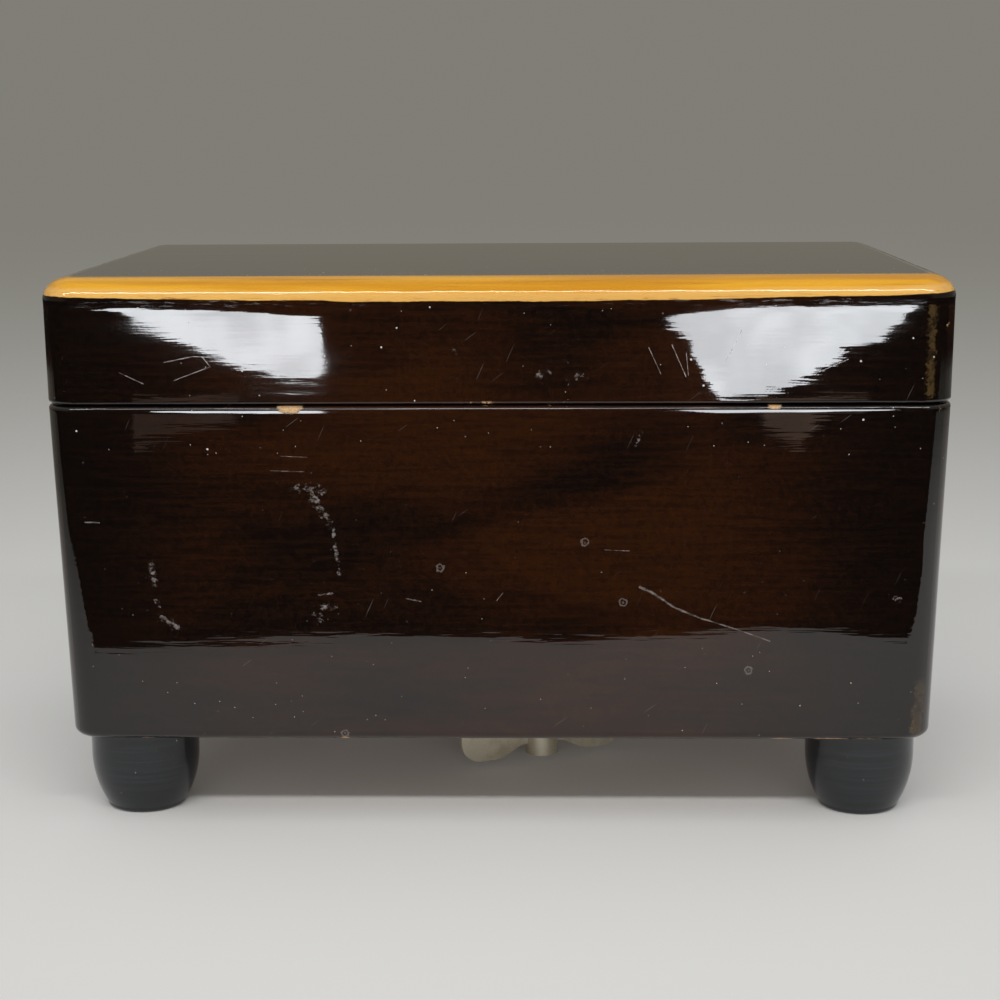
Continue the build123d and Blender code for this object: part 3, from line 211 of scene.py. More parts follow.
BODY_STAINS = (
    ((75.2, 17.6), (75.9, 26.6), 2.4),
    ((77.0, 16.6), (78.2, 19.6), 1.6),
    ((-77.6, 16.8), (-78.4, 20.2), 1.3),
)
LID_STAINS = (
    ((75.3, 79.2), (75.3, 94.6), 1.7),
)
# Chips of the lacquer down to the pale wood, as (x, z, half length, half height)
CHIPS = (
    (-36.2, 77.2, 1.9, 0.95),
    (48.5, 77.3, 1.0, 0.55),
    (50.9, 16.0, 2.0, 0.34),
    (60.0, 16.0, 3.2, 0.36),
    (66.4, 16.0, 2.6, 0.26),
    (-27.9, 16.1, 0.7, 0.40),
    (-64.0, 16.0, 1.2, 0.22),
    (8.0, 16.0, 0.9, 0.20),
)
CHIP_DEPTH = 1.0
BODY_MARKS = {
    "scratches": BODY_SCRATCHES,
    "flakes": BODY_FLAKES,
    "rings": BODY_RINGS,
    "stains": BODY_STAINS,
    "chips": CHIPS,
}
LID_MARKS = {
    "scratches": LID_SCRATCHES,
    "flakes": LID_FLAKES,
    "rings": (),
    "stains": LID_STAINS,
    "chips": (),
}

# Colours, linear
DARK_DEEP = (0.0026, 0.0015, 0.0012)
DARK_MID = (0.0074, 0.0030, 0.0017)
DARK_WARM = (0.0185, 0.0056, 0.0018)
DARK_ENDS = (0.0016, 0.0012, 0.0010)
SCUFF = (0.15, 0.13, 0.12)
DUST = (0.46, 0.44, 0.42)
STAIN = (0.050, 0.031, 0.012)
BARE_WOOD = (0.42, 0.25, 0.11)
CHIP_EDGE = (0.13, 0.085, 0.045)
AMBER_LIGHT = (0.520, 0.255, 0.012)
AMBER_DEEP = (0.400, 0.170, 0.004)
# Pale tan for the band's lower part: a painted reflection
AMBER_PAINTED_REFLECTION = (0.50, 0.29, 0.085)
AMBER_LINE = (0.16, 0.050, 0.006)
FOOT_DEEP = (0.0042, 0.0050, 0.0062)
FOOT_MID = (0.0085, 0.0096, 0.0115)
WOOD_DARK = (0.20, 0.105, 0.048)
WOOD_PALE = (0.33, 0.19, 0.095)
WOOD_LINE = (0.10, 0.048, 0.020)
VELVET_DEEP = (0.078, 0.0045, 0.0085)
VELVET_BRIGHT = (0.130, 0.0085, 0.0145)
VELVET_SHEEN = {
    "Sheen Weight": 0.45,
    "Sheen Roughness": 0.35,
    "Sheen Tint": (0.95, 0.40, 0.38),
    "Specular IOR Level": 0.2,
}
GLASS_TINT = (0.94, 0.97, 0.955)
GLASS_DUST = (0.6, 0.6, 0.57)
SILVER = (0.86, 0.87, 0.87)
FOXING = (0.10, 0.085, 0.06)
LACQUER_IOR = 1.56
AMBER_IOR = 1.45
FOOT_IOR = 1.54
GLASS_IOR = 1.48


class Graph:
    """Adds shader nodes to one material or world and links them."""

    def __init__(self, tree):
        self.tree = tree

    def put(self, socket, value):
        if isinstance(value, bpy.types.NodeSocket):
            self.tree.links.new(value, socket)
        elif socket.type == "RGBA":
            socket.default_value = tuple(value)[:3] + (1.0,)
        else:
            socket.default_value = value

    def add(self, kind, values=None, **settings):
        made = self.tree.nodes.new(kind)
        for key, value in settings.items():
            setattr(made, key, value)
        for key, value in (values or {}).items():
            self.put(made.inputs[key], value)
        return made

    def math(self, operation, *values, clamp=False):
        made = self.add("ShaderNodeMath", operation=operation, use_clamp=clamp)
        for socket, value in zip(made.inputs, values):
            self.put(socket, value)
        return made.outputs[0]

    def times(self, first, second):
        return self.math("MULTIPLY", first, second)

    def less(self, first, second):
        return self.math("SUBTRACT", first, second)

    def most(self, *values):
        """The greatest of several values."""
        whole = values[0]
        for value in values[1:]:
            whole = self.math("MAXIMUM", whole, value)
        return whole

    def vector(self, operation, *values):
        made = self.add("ShaderNodeVectorMath", operation=operation)
        for socket, value in zip(made.inputs, values):
            self.put(socket, value)
        single = operation in ("LENGTH", "DISTANCE", "DOT_PRODUCT")
        return made.outputs["Value" if single else "Vector"]

    def triple(self, value):
        return self.add("ShaderNodeCombineXYZ", {0: value, 1: value, 2: value}).outputs[0]

    def span(self, value, low, high, out_low=0.0, out_high=1.0):
        made = self.add("ShaderNodeMapRange", interpolation_type="SMOOTHSTEP")
        for socket, number in zip(made.inputs, (value, low, high, out_low, out_high)):
            self.put(socket, number)
        return made.outputs[0]

    def mix(self, share, first, second):
        made = self.add("ShaderNodeMix", data_type="RGBA")
        self.put(made.inputs[0], share)
        self.put(made.inputs[6], first)
        self.put(made.inputs[7], second)
        return made.outputs[2]

    def blend(self, share, first, second):
        made = self.add("ShaderNodeMix", data_type="FLOAT")
        self.put(made.inputs[0], share)
        self.put(made.inputs[2], first)
        self.put(made.inputs[3], second)
        return made.outputs[0]

    def shaders(self, share, first, second):
        return self.add("ShaderNodeMixShader", {0: share, 1: first, 2: second}).outputs[0]

    def glow(self, colour, strength=1.0, kind="Emission"):
        return self.add("ShaderNode" + kind, {"Color": colour, "Strength": strength}).outputs[0]

    def noise(self, place, scale=1.0, detail=2.0, roughness=0.5, distortion=0.0):
        made = self.add("ShaderNodeTexNoise", {"Vector": place, "Scale": scale, "Detail": detail})
        self.put(made.inputs["Roughness"], roughness)
        self.put(made.inputs["Distortion"], distortion)
        return made.outputs[0]

    def bump(self, height, depth, normal=None):
        values = {"Height": height, "Distance": depth * MM, "Strength": 1.0}
        made = self.add("ShaderNodeBump", values)
        if normal is not None:
            self.put(made.inputs["Normal"], normal)
        return made.outputs["Normal"]

    def place(self):
        """Place on the object at rest, in millimetres."""
        where = self.add("ShaderNodeTexCoord").outputs["Object"]
        return self.vector("MULTIPLY", where, (1 / MM, 1 / MM, 1 / MM))

    def parts(self, vector):
        """The x, y and z of a vector."""
        return tuple(self.add("ShaderNodeSeparateXYZ", {0: vector}).outputs)


def new_material(name):
    """A material with its node graph and its shader."""
    made = bpy.data.materials.new(name)
    made.use_nodes = True
    shader = made.node_tree.nodes["Principled BSDF"]
    return made, Graph(made.node_tree), shader


def coat(g, shader, colour, rough, normal, others=None):
    """Sets a shader's colour, roughness and normal, and its other inputs by name."""
    values = {"Base Color": colour, "Roughness": rough, "Normal": normal, **(others or {})}
    for key, value in values.items():
        g.put(shader.inputs[key], value)


def stretched(g, place, along, length, width):
    """Coordinates in which one unit is a fibre's length along and its width across."""
    scale = [1.0 / width] * 3
    scale["XYZ".index(along)] = 1.0 / length
    return g.vector("MULTIPLY", place, tuple(scale))


def specks(g, place, spacing, radius, share):
    """Share of small round specks, one in some of the cells of the given spacing."""
    cell = g.add("ShaderNodeTexVoronoi", {"Vector": place, "Scale": 1.0 / spacing})
    parts = g.add("ShaderNodeSeparateColor", {0: cell.outputs["Color"]}).outputs
    chosen = g.math("LESS_THAN", parts[0], share)
    reach = g.times(g.math("ADD", parts[1], 0.35), radius / spacing)
    near = g.math("DIVIDE", cell.outputs["Distance"], reach)
    return g.times(chosen, g.span(near, 1.0, 0.6))


def scratches(g, place, way, spacing, width, length, share):
    """Share of short straight scratches that lie along one direction."""
    way = Vector(way).normalized()
    along = g.vector("DOT_PRODUCT", place, tuple(way))
    shift = g.times(along, width / length - 1.0)
    moved = g.vector("MULTIPLY", g.triple(shift), tuple(way))
    return specks(g, g.vector("ADD", place, moved), spacing, width, share)


def stroke(g, place, start, end, width, ragged):
    """Share of a straight ragged mark on the front, between two (x, z) places."""
    along = Vector((end[0] - start[0], 0.0, end[1] - start[1]))
    flat = g.vector("MULTIPLY", place, (1.0, 0.0, 1.0))
    from_start = g.vector("SUBTRACT", flat, (start[0], 0.0, start[1]))
    part = g.vector("DOT_PRODUCT", from_start, tuple(along / along.length_squared))
    part = g.math("ADD", part, 0.0, clamp=True)
    foot = g.vector("MULTIPLY", g.triple(part), tuple(along))
    away = g.vector("LENGTH", g.vector("SUBTRACT", from_start, foot))
    away = g.math("ADD", away, g.times(ragged, width))
    return g.span(away, width * 0.55, width * 0.25)


def round_blemishes(g, place, centres):
    """Share of small round blemishes on the front: each a ring with a dot in it."""
    flat = g.vector("MULTIPLY", place, (1.0, 0.0, 1.0))
    wobble = g.span(g.noise(place, 1.6, 2.0), 0.3, 0.7, -0.14, 0.14)
    whole = 0.0
    for centre in centres:
        away = g.math("ADD", g.vector("DISTANCE", flat, (centre[0], 0.0, centre[1])), wobble)
        off = g.math("ABSOLUTE", g.less(away, RING_RADIUS))
        edge = g.span(off, RING_LINE, RING_LINE * 0.3, 0.0, 0.75)
        dot = g.span(away, RING_LINE * 1.1, RING_LINE * 0.4, 0.0, 0.6)
        whole = g.most(whole, g.most(edge, dot))
    return whole


def strokes(g, place, marks, roughness):
    """Share of several strokes whose edges one noise makes ragged."""
    ragged = g.less(g.noise(place, 1.25, 3.0, 0.75), 0.5)
    ragged = g.times(ragged, roughness)
    whole = 0.0
    for mark in marks:
        whole = g.most(whole, stroke(g, place, *mark, ragged))
    return whole


def lacquer_colour(g, place, along):
    """Nearly black lacquer: the wood's grain glows through it, least towards its ends."""
    fibres = g.noise(stretched(g, place, along, 12.0, 0.7), 1.0, 4.0, 0.62)
    mottle = g.noise(place, 0.9, 4.0, 0.7)
    bands = g.noise(stretched(g, place, along, 55.0, 17.0), 1.0, 2.5, 0.55, 0.4)
    grain = g.times(g.math("ADD", fibres, mottle), 0.5)
    colour = g.mix(g.span(grain, 0.40, 0.62), DARK_DEEP, DARK_MID)
    reach = g.math("ABSOLUTE", g.parts(place)["XYZ".index(along)])
    warmth = g.times(g.span(bands, 0.33, 0.62), g.span(grain, 0.36, 0.62, 0.45, 1.0))
    warmth = g.times(warmth, g.span(reach, 30.0, 72.0, 1.0, 0.05))
    colour = g.mix(warmth, colour, DARK_WARM)
    return g.mix(g.span(reach, 50.0, 80.0, 0.0, 0.6), colour, DARK_ENDS)


def edge_wear(g, place, x, y, z, low, high):
    """Share of lacquer rubbed off the upright corners and the outer lower and upper edges."""
    side = g.math("ABSOLUTE", x)
    end = g.math("ABSOLUTE", g.less(y, CASE_Y))
    near_side = g.span(side, HALF_W - 3.4, HALF_W - 1.4)
    near_end = g.span(end, HALF_D - 3.4, HALF_D - 1.4)
    outer_side = g.span(side, HALF_W - 2.4, HALF_W - 1.9)
    outer_end = g.span(end, HALF_D - 2.4, HALF_D - 1.9)
    ends = g.most(g.span(z, low + 0.6, low + 0.15), g.span(z, high - 0.45, high - 0.1))
    edge = g.most(g.times(near_side, near_end), g.times(ends, g.most(outer_side, outer_end)))
    rubbed = g.span(g.noise(place, 0.12, 5.0, 0.72), 0.62, 0.67)
    return g.times(edge, rubbed)


def chip_shares(g, place, chips):
    """Shares of the named chips on the front's edges: their pale wood and their torn rim."""
    x, y, z = g.parts(place)
    whole = 0.0
    ragged = g.less(g.noise(place, 1.5, 4.0, 0.8), 0.5)
    ragged = g.times(ragged, 4.0)
    depth = g.math("ADD", g.less(y, FRONT_Y + 0.5), g.times(ragged, 0.5))
    depth = g.less(depth, g.span(z, BODY_LOW + 3.0, BODY_LOW + 1.0, 0.0, 2.6))
    front = g.span(depth, CHIP_DEPTH, CHIP_DEPTH - 0.5)
    for at_x, at_z, half, tall in chips:
        across = g.math("DIVIDE", g.less(x, at_x), half)
        down = g.math("DIVIDE", g.less(z, at_z), tall)
        away = g.math("ADD", g.times(across, across), g.times(down, down))
        whole = g.most(whole, g.span(g.math("ADD", away, ragged), 1.7, 0.4))
    whole = g.times(whole, front)
    mottled = g.span(g.noise(place, 2.6, 3.0), 0.3, 0.6, 0.45, 1.0)
    return g.times(g.span(whole, 0.42, 0.62), mottled), g.span(whole, 0.0, 0.25)


def lacquer_surface(g, place, along, relief):
    """Roughness and normal of old brushed-on gloss: streaks along the grain and soft waves."""
    smear = g.noise(stretched(g, place, along, 40.0, 12.0), 1.0, 3.0, 0.6)
    rough = g.span(smear, 0.35, 0.75, 0.016, 0.050)
    waves = g.noise(stretched(g, place, along, 30.0, 6.0), 1.0, 1.0)
    streaks = g.noise(stretched(g, place, along, 14.0, 1.0), 1.0, 2.0, 0.55)
    peel = g.noise(place, 1.3, 2.0, 0.5)
    normal = g.bump(waves, 0.018 * relief)
    normal = g.bump(streaks, 0.0042 * relief, normal)
    return rough, g.bump(peel, 0.0008, normal)


def fine_wear(g, place, ways):
    """Dust specks and two families of short scratches, as shares."""
    dust = g.most(specks(g, place, 3.0, 0.17, 0.35), specks(g, place, 1.5, 0.075, 0.4))
    first = scratches(g, place, ways[0], 0.75, 0.055, 2.4, 0.5)
    second = scratches(g, place, ways[1], 0.70, 0.050, 1.6, 0.4)
    scuffed = g.span(g.noise(place, 0.07, 3.0), 0.42, 0.62, 0.15, 1.0)
    fine = g.times(g.most(first, second), g.times(scuffed, 0.32))
    return dust, fine


def edge_roll(g, z, low, high, normal):
    """The board's rubbed upper and lower edges, which roll back a little."""
    top = g.span(z, high - 1.5, high - 0.25)
    foot = g.span(z, low + 1.2, low + 0.2)
    return g.bump(g.less(1.0, g.most(top, foot)), ROLL_DEPTH, normal)


def lean_back(g, z, normal):
    """The lid's boards, which lean back a little towards the rim."""
    return g.bump(g.span(z, LEAN_LOW, LEAN_HIGH, 1.0, 0.0), LEAN_DEPTH, normal)


FRONT_WAYS = ((0.45, 0.0, 1.0), (1.0, 0.0, 0.75))
SIDE_WAYS = ((0.0, 0.45, 1.0), (0.0, 1.0, 0.75))
TOP_WAYS = ((0.5, 1.0, 0.0), (1.0, -0.6, 0.0))


def named_marks(g, place, marks):
    """Share of a front's named scratches, flaked patches and ring marks."""
    broken = g.span(g.noise(place, 0.8, 3.0, 0.7), 0.34, 0.60, 0.15, 0.75)
    scratched = g.times(strokes(g, place, marks["scratches"], 1.6), broken)
    patchy = g.span(g.noise(stretched(g, place, "X", 1.6, 1.0), 1.0, 4.0, 0.8), 0.46, 0.62)
    flaked = g.times(strokes(g, place, marks["flakes"], 3.6), g.times(patchy, 0.8))
    ringed = g.times(round_blemishes(g, place, marks["rings"]), 0.55)
    return g.most(scratched, flaked, ringed)


def stains(g, place, marks):
    """Share of a front's named stains."""
    blurred = g.span(g.noise(place, 0.5, 4.0, 0.7), 0.32, 0.62, 0.15, 0.75)
    return g.times(strokes(g, place, marks["stains"], 1.8), blurred)


def lacquered(name, along, ways, low, high, marks=None):
    """Old dark gloss lacquer with dust, scratches and edge wear, and a front's named marks."""
    made, g, shader = new_material(name)
    place = g.place()
    x, y, z = g.parts(place)
    colour = lacquer_colour(g, place, along)
    if low < LID_LOW:
        rough, normal = lacquer_surface(g, place, along, BODY_RELIEF)
        normal = edge_roll(g, z, low, high, normal)
    else:
        rough, normal = lacquer_surface(g, place, along, LID_RELIEF)
        normal = lean_back(g, z, normal)
    dust, marked = fine_wear(g, place, ways)
    bare = torn = edge_wear(g, place, x, y, z, low, high)
    if marks:
        front = g.math("LESS_THAN", y, FRONT_Y + 4.0)
        colour = g.mix(g.times(stains(g, place, marks), front), colour, STAIN)
        named = g.times(named_marks(g, place, marks), front)
        marked = g.most(marked, named)
    if marks and marks["chips"]:
        wood, rim = chip_shares(g, place, marks["chips"])
        torn = g.most(bare, rim)
        bare = g.most(bare, wood)
    colour = g.mix(g.times(dust, 0.85), g.mix(marked, colour, SCUFF), DUST)
    colour = g.mix(bare, g.mix(torn, colour, CHIP_EDGE), BARE_WOOD)
    shares = ((marked, 0.3), (dust, 0.4), (torn, 0.45))
    dull = g.most(*[g.times(share, much) for share, much in shares])
    rough = g.math("ADD", rough, dull, clamp=True)
    coat(g, shader, colour, rough, normal, {"IOR": LACQUER_IOR})
    return made


def lacquered_top(name):
    """The lid's dark panel: the same lacquer, dustier and rubbed along its front edge."""
    made, g, shader = new_material(name)
    place = g.place()
    y = g.parts(place)[1]
    colour = lacquer_colour(g, place, "X")
    rough, normal = lacquer_surface(g, place, "X", LID_RELIEF)
    dust, marked = fine_wear(g, place, TOP_WAYS)
    near = g.span(y, PANEL_FRONT + 16.0, PANEL_FRONT + 1.0)
    rubbed = g.span(g.noise(stretched(g, place, "X", 1.3, 1.6), 1.0, 4.0, 0.8), 0.54, 0.66)
    rubbed = g.times(rubbed, g.times(near, 0.9))
    strewn = g.times(specks(g, place, 2.6, 0.26, 0.4), g.span(y, 0.0, PANEL_FRONT, 0.1, 1.0))
    crumbs = g.most(g.times(dust, 0.55), strewn)
    colour = g.mix(g.most(marked, rubbed), colour, SCUFF)
    colour = g.mix(g.times(crumbs, 0.8), colour, DUST)
    dull = g.times(g.most(marked, rubbed, crumbs), 0.4)
    rough = g.math("ADD", rough, dull, clamp=True)
    coat(g, shader, colour, rough, normal, {"IOR": LACQUER_IOR})
    return made


def amber_colour(g, place, above):
    """Honey lacquer over straight grain, stained towards the painted line, with a pale reflection
    painted in just above that line.
    """
    fibres = g.noise(stretched(g, place, "X", 30.0, 0.42), 1.0, 4.0, 0.65)
    bands = g.noise(stretched(g, place, "X", 50.0, 2.2), 1.0, 2.0)
    amber = g.mix(g.span(bands, 0.35, 0.65), AMBER_DEEP, AMBER_LIGHT)
    # Paler within 1.9 mm above the line: painted reflection
    amber = g.mix(g.span(above, 1.9, 1.0, 0.0, 0.75), amber, AMBER_PAINTED_REFLECTION)
    amber = g.mix(g.span(fibres, 0.58, 0.74, 0.0, 0.6), amber, AMBER_LINE)
    streaky = g.noise(stretched(g, place, "X", 5.0, 0.5), 1.0, 4.0, 0.75)
    stain = g.times(g.span(above, 0.9, 0.0), g.span(streaky, 0.54, 0.66))
    return g.mix(g.times(stain, 0.75), amber, AMBER_LINE), stain


def amber_rim(name):
    """The lid's rounded edge: honey lacquer above a wavy painted line, dark below it."""
    made, g, shader = new_material(name)
    place = g.place()
    x, y, z = g.parts(place)
    bow = g.math("DIVIDE", x, HALF_W)
    line = g.blend(g.math("MULTIPLY", bow, bow, clamp=True), BAND_MIDDLE, BAND_END)
    wave = g.less(g.noise(place, 0.09, 4.0, 0.65), 0.5)
    line = g.math("ADD", line, g.times(wave, BAND_WAVE * 2))
    above = g.less(z, line)
    amber, stain = amber_colour(g, place, above)
    dark = lacquer_colour(g, place, "X")
    behind = g.span(y, PANEL_FRONT + 1.1, PANEL_FRONT + 6.6)
    over = g.times(g.span(z, OVERPAINT_Z, OVERPAINT_Z + 0.3), behind)
    shown = g.math("SUBTRACT", g.span(above, -BAND_BLUR, BAND_BLUR), over, clamp=True)
    colour = g.mix(shown, dark, amber)
    dust = g.times(specks(g, place, 4.0, 0.13, 0.2), 0.6)
    rough, normal = lacquer_surface(g, place, "X", LID_RELIEF)
    normal = g.bump(g.math("MINIMUM", z, RIM_LEAN_END), -RIM_LEAN, normal)
    rough = g.math("ADD", rough, g.times(stain, 0.2), clamp=True)
    coat(g, shader, g.mix(dust, colour, DUST), rough, normal, {"IOR": AMBER_IOR})
    return made


def black_foot(name):
    """Turned feet in blue-black gloss with turning lines and dust."""
    made, g, shader = new_material(name)
    place = g.place()
    lines = g.noise(stretched(g, place, "Z", 0.4, 26.0), 1.0, 2.0)
    colour = g.mix(g.span(lines, 0.35, 0.7), FOOT_DEEP, FOOT_MID)
    dust, marked = fine_wear(g, place, FRONT_WAYS)
    colour = g.mix(g.times(dust, 0.8), g.mix(marked, colour, SCUFF), DUST)
    smear = g.noise(place, 0.25, 3.0)
    worn = g.times(g.most(marked, dust), 0.35)
    rough = g.math("ADD", g.span(smear, 0.35, 0.7, 0.09, 0.20), worn)
    normal = g.bump(lines, 0.004, g.bump(smear, 0.03))
    coat(g, shader, colour, rough, normal, {"IOR": FOOT_IOR})
    return made


def bare_wood(name):
    """Oiled softwood of the bottom, with long pale and dark fibres."""
    made, g, shader = new_material(name)
    place = g.place()
    fibres = g.noise(stretched(g, place, "X", 30.0, 0.8), 1.0, 5.0, 0.65)
    rings = g.noise(stretched(g, place, "X", 90.0, 6.0), 1.0, 2.0, 0.5, 0.8)
    colour = g.mix(g.span(rings, 0.35, 0.65), WOOD_DARK, WOOD_PALE)
    colour = g.mix(g.span(fibres, 0.55, 0.75, 0.0, 0.6), colour, WOOD_LINE)
    coat(g, shader, colour, g.span(fibres, 0.3, 0.7, 0.48, 0.68), g.bump(fibres, 0.06))
    return made


def metal(name, light, dark, rough_low, rough_high, along=None, grime=0.5, depth=0.004):
    """Metal with a brushed or cast surface, tarnish patches and dark specks."""
    made, g, shader = new_material(name)
    place = g.place()
    brushed = stretched(g, place, along, 9.0, 0.10) if along else place
    fine = g.noise(brushed, 1.0 if along else 2.6, 3.0, 0.6)
    patches = g.noise(place, 0.22, 4.0, 0.6)
    tarnish = g.span(patches, 0.42, 0.70, 0.0, grime)
    pits = g.times(specks(g, place, 1.6, 0.10, 0.15), 0.6)
    colour = g.mix(g.most(tarnish, pits), light, dark)
    colour = g.mix(g.span(fine, 0.35, 0.75, 0.0, 0.25), colour, dark)
    both = g.times(g.math("ADD", fine, patches), 0.5)
    rough = g.span(both, 0.3, 0.7, rough_low, rough_high)
    coat(g, shader, colour, rough, g.bump(fine, depth), {"Metallic": 1.0})
    return made


def velvet(name):
    """Short pile with brushed patches that lie lighter or darker, painted shade in the pile, and a
    soft sheen.
    """
    made, g, shader = new_material(name)
    place = g.place()
    pile = g.noise(place, 5.5, 2.0, 0.7)
    brushed = g.noise(place, 0.16, 3.0, 0.6, 0.5)
    colour = g.mix(g.span(brushed, 0.38, 0.66), VELVET_DEEP, VELVET_BRIGHT)
    # Painted shade among the pile: a darker copy of the velvet colour
    shade = tuple(0.45 * part for part in VELVET_DEEP)
    colour = g.mix(g.span(pile, 0.40, 0.72, 0.0, 0.45), colour, shade)
    rough = g.span(pile, 0.3, 0.7, 0.80, 0.97)
    coat(g, shader, colour, rough, g.bump(pile, 0.12, g.bump(brushed, 0.25)), VELVET_SHEEN)
    return made


def clear_glass(name):
    """Old window pane: slightly green, with faint waves, smears and dust."""
    made, g, shader = new_material(name)
    place = g.place()
    smear = g.noise(place, 0.06, 4.0, 0.6)
    dust = specks(g, place, 3.2, 0.12, 0.2)
    tint = g.mix(g.times(dust, 0.6), GLASS_TINT, GLASS_DUST)
    rough = g.math("ADD", g.span(smear, 0.45, 0.75, 0.0, 0.06), g.times(dust, 0.4))
    normal = g.bump(g.noise(place, 0.05, 1.0), 0.02)
    coat(g, shader, tint, rough, normal, {"Transmission Weight": 1.0, "IOR": GLASS_IOR})
    return made


def old_mirror(name):
    """Silvered glass with a little foxing towards its edges."""
    made, g, shader = new_material(name)
    place = g.place()
    low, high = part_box("mirror")
    half = (high - low) / 2 / MM
    middle = (high + low) / 2 / MM
    near = []
    for where, centre, reach in list(zip(g.parts(place), middle, half))[:2]:
        away = g.math("ABSOLUTE", g.less(where, centre))
        near.append(g.span(away, reach - 9.0, reach - 2.0))
    spots = g.span(g.noise(place, 0.55, 4.0, 0.7), 0.56, 0.66, 0.0, 0.8)
    foxing = g.times(g.most(*near), spots)
    foxing = g.most(foxing, g.times(specks(g, place, 6.0, 0.3, 0.16), 0.6))
    smear = g.span(g.noise(place, 0.05, 3.0), 0.4, 0.7, 0.0, 0.04)
    colour = g.mix(foxing, SILVER, FOXING)
    rough = g.math("ADD", smear, g.times(foxing, 0.3))
    coat(g, shader, colour, rough, g.bump(g.noise(place, 0.03, 1.0), 0.004), {"Metallic": 1.0})
    return made


def dress(material, *names):
    """Puts one material on the named CAD nodes."""
    for name in names:
        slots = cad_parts[name].data.materials
        for index in range(len(slots)):
            slots[index] = material
        if not slots:
            slots.append(material)


def dress_case():
    """Lacquer, rim, feet and bare bottom."""
    body, lid = (BODY_LOW, BODY_HIGH), (LID_LOW, LID_WEAR_HIGH)
    front = lacquered("lacquer_body_front", "X", FRONT_WAYS, *body, BODY_MARKS)
    lid_front = lacquered("lacquer_lid_front", "X", FRONT_WAYS, *lid, LID_MARKS)
    across = lacquered("lacquer_across", "X", FRONT_WAYS, *body)
    lid_across = lacquered("lacquer_lid_across", "X", FRONT_WAYS, *lid)
    sides = lacquered("lacquer_sides", "Y", SIDE_WAYS, *body)
    lid_sides = lacquered("lacquer_lid_sides", "Y", SIDE_WAYS, *lid)
    dress(front, "body_front")
    dress(lid_front, "lid_front")
    dress(across, "body_back")
    dress(lid_across, "lid_back")
    dress(lacquered_top("lacquer_top"), "lid_panel")
    dress(sides, "body_left", "body_right", "partition_left", "partition_right", "glass_cleats")
    dress(lid_sides, "lid_left", "lid_right")
    dress(amber_rim("amber_rim"), "lid_rim")
    foot = black_foot("foot_gloss")
    dress(foot, "foot_front_left", "foot_front_right", "foot_back_left", "foot_back_right")
    dress(bare_wood("bottom_wood"), "bottom_panel")


def dress_glass():
    """The pane over the movement and the mirror in the lid."""
    dress(clear_glass("pane_glass"), "glass_pane")
    dress(old_mirror("mirror_silver"), "mirror")


def dress_metal():
    """Hinges, movement and key."""
    hinge = metal("hinge_brass", (0.62, 0.44, 0.17), (0.20, 0.12, 0.045), 0.24, 0.48, "X", 0.75)
    brass = metal("movement_brass", (0.78, 0.57, 0.25), (0.42, 0.27, 0.09), 0.16, 0.34, "X", 0.45)
    drum = metal("drum_brass", (0.80, 0.60, 0.28), (0.46, 0.30, 0.11), 0.18, 0.32, "Y", 0.35)
    steel = metal("bright_steel", (0.60, 0.61, 0.62), (0.30, 0.29, 0.28), 0.16, 0.34, "Y", 0.35)
    zinc = metal("cast_zinc", (0.50, 0.49, 0.46), (0.30, 0.29, 0.27), 0.34, 0.54, None, 0.6, 0.03)
    lead = metal("dull_lead", (0.22, 0.22, 0.23), (0.12, 0.12, 0.125), 0.47, 0.67, None, 0.6, 0.03)
    nickel = metal("aged_nickel", (0.78, 0.74, 0.60), (0.46, 0.41, 0.29), 0.38, 0.60, "X", 0.6)
    for side in ("left", "right"):
        dress(hinge, *["hinge_" + side + part for part in ("_case_leaf", "_lid_leaf", "_pin")])
    dress(hinge, "hinge_screws_case", "hinge_screws_lid")
    dress(brass, "spring_barrel", "crown_wheel", "cylinder_wheel", "idler_wheel", "governor_fan")
    dress(brass, "cylinder_post", "click")
    dress(drum, "pinned_cylinder")
    dress(steel, "mainspring", "comb", "comb_screws", "bracket_screws", "movement_screws")
    dress(steel, "winding_arbor", "ratchet_wheel", "click_screw", "click_spring", "idler_pinion")
    dress(steel, "cylinder_arbor", "cylinder_pinion", "governor_spindle", "stop_plunger")
    dress(steel, "plunger_spring")
    dress(zinc, "bedplate", "governor_frame")
    dress(lead, "comb_weights")
    dress(nickel, "winding_key")


def finished_object(name, mesh, body, material, node):
    """Turns a mesh into a velvet piece that rides a body and stands for a CAD node."""
    made = bpy.data.objects.new(name, mesh)
    bpy.context.scene.collection.objects.link(made)
    mesh.materials.append(material)
    for face in mesh.polygons:
        face.use_smooth = True
    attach(made, body)
    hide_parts(node)


# Well cushions: simulated at ten times their size, then fitted to the CAD pads
SIM_SCALE = 10.0
PAD_ROWS = 58
PAD_COLUMNS = 21
SIM_FRAMES = 22
SIM_PRESSURE = 4.0
SIM_SLACK = 0.05
PAD_FLAT_SHARE = 0.30
WELT_RADIUS = 0.55
WELT_SIDES = 8


def seam_keys():
    """Grid places round the sewn edge of a cushion, in order."""
    keys = [(i, 0) for i in range(PAD_COLUMNS)]
    keys += [(PAD_COLUMNS, j) for j in range(PAD_ROWS)]
    keys += [(i, PAD_ROWS) for i in range(PAD_COLUMNS, 0, -1)]
    return keys + [(0, j) for j in range(PAD_ROWS, 0, -1)]


def sheet_points(mesh, width, depth, side, sewn):
    """One sheet of the cushion; the second takes the first one's edge points."""
    points = {}
    for i in range(PAD_COLUMNS + 1):
        for j in range(PAD_ROWS + 1):
            edge = i in (0, PAD_COLUMNS) or j in (0, PAD_ROWS)
            if edge and sewn:
                points[i, j] = sewn[i, j]
                continue
            u, v = i / PAD_COLUMNS, j / PAD_ROWS
            bulge = math.sqrt(max(0.0, math.sin(math.pi * u) * math.sin(math.pi * v)))
            lift = side * 0.02 * width * bulge
            points[i, j] = mesh.verts.new(((u - 0.5) * width, (v - 0.5) * depth, lift))
    return points


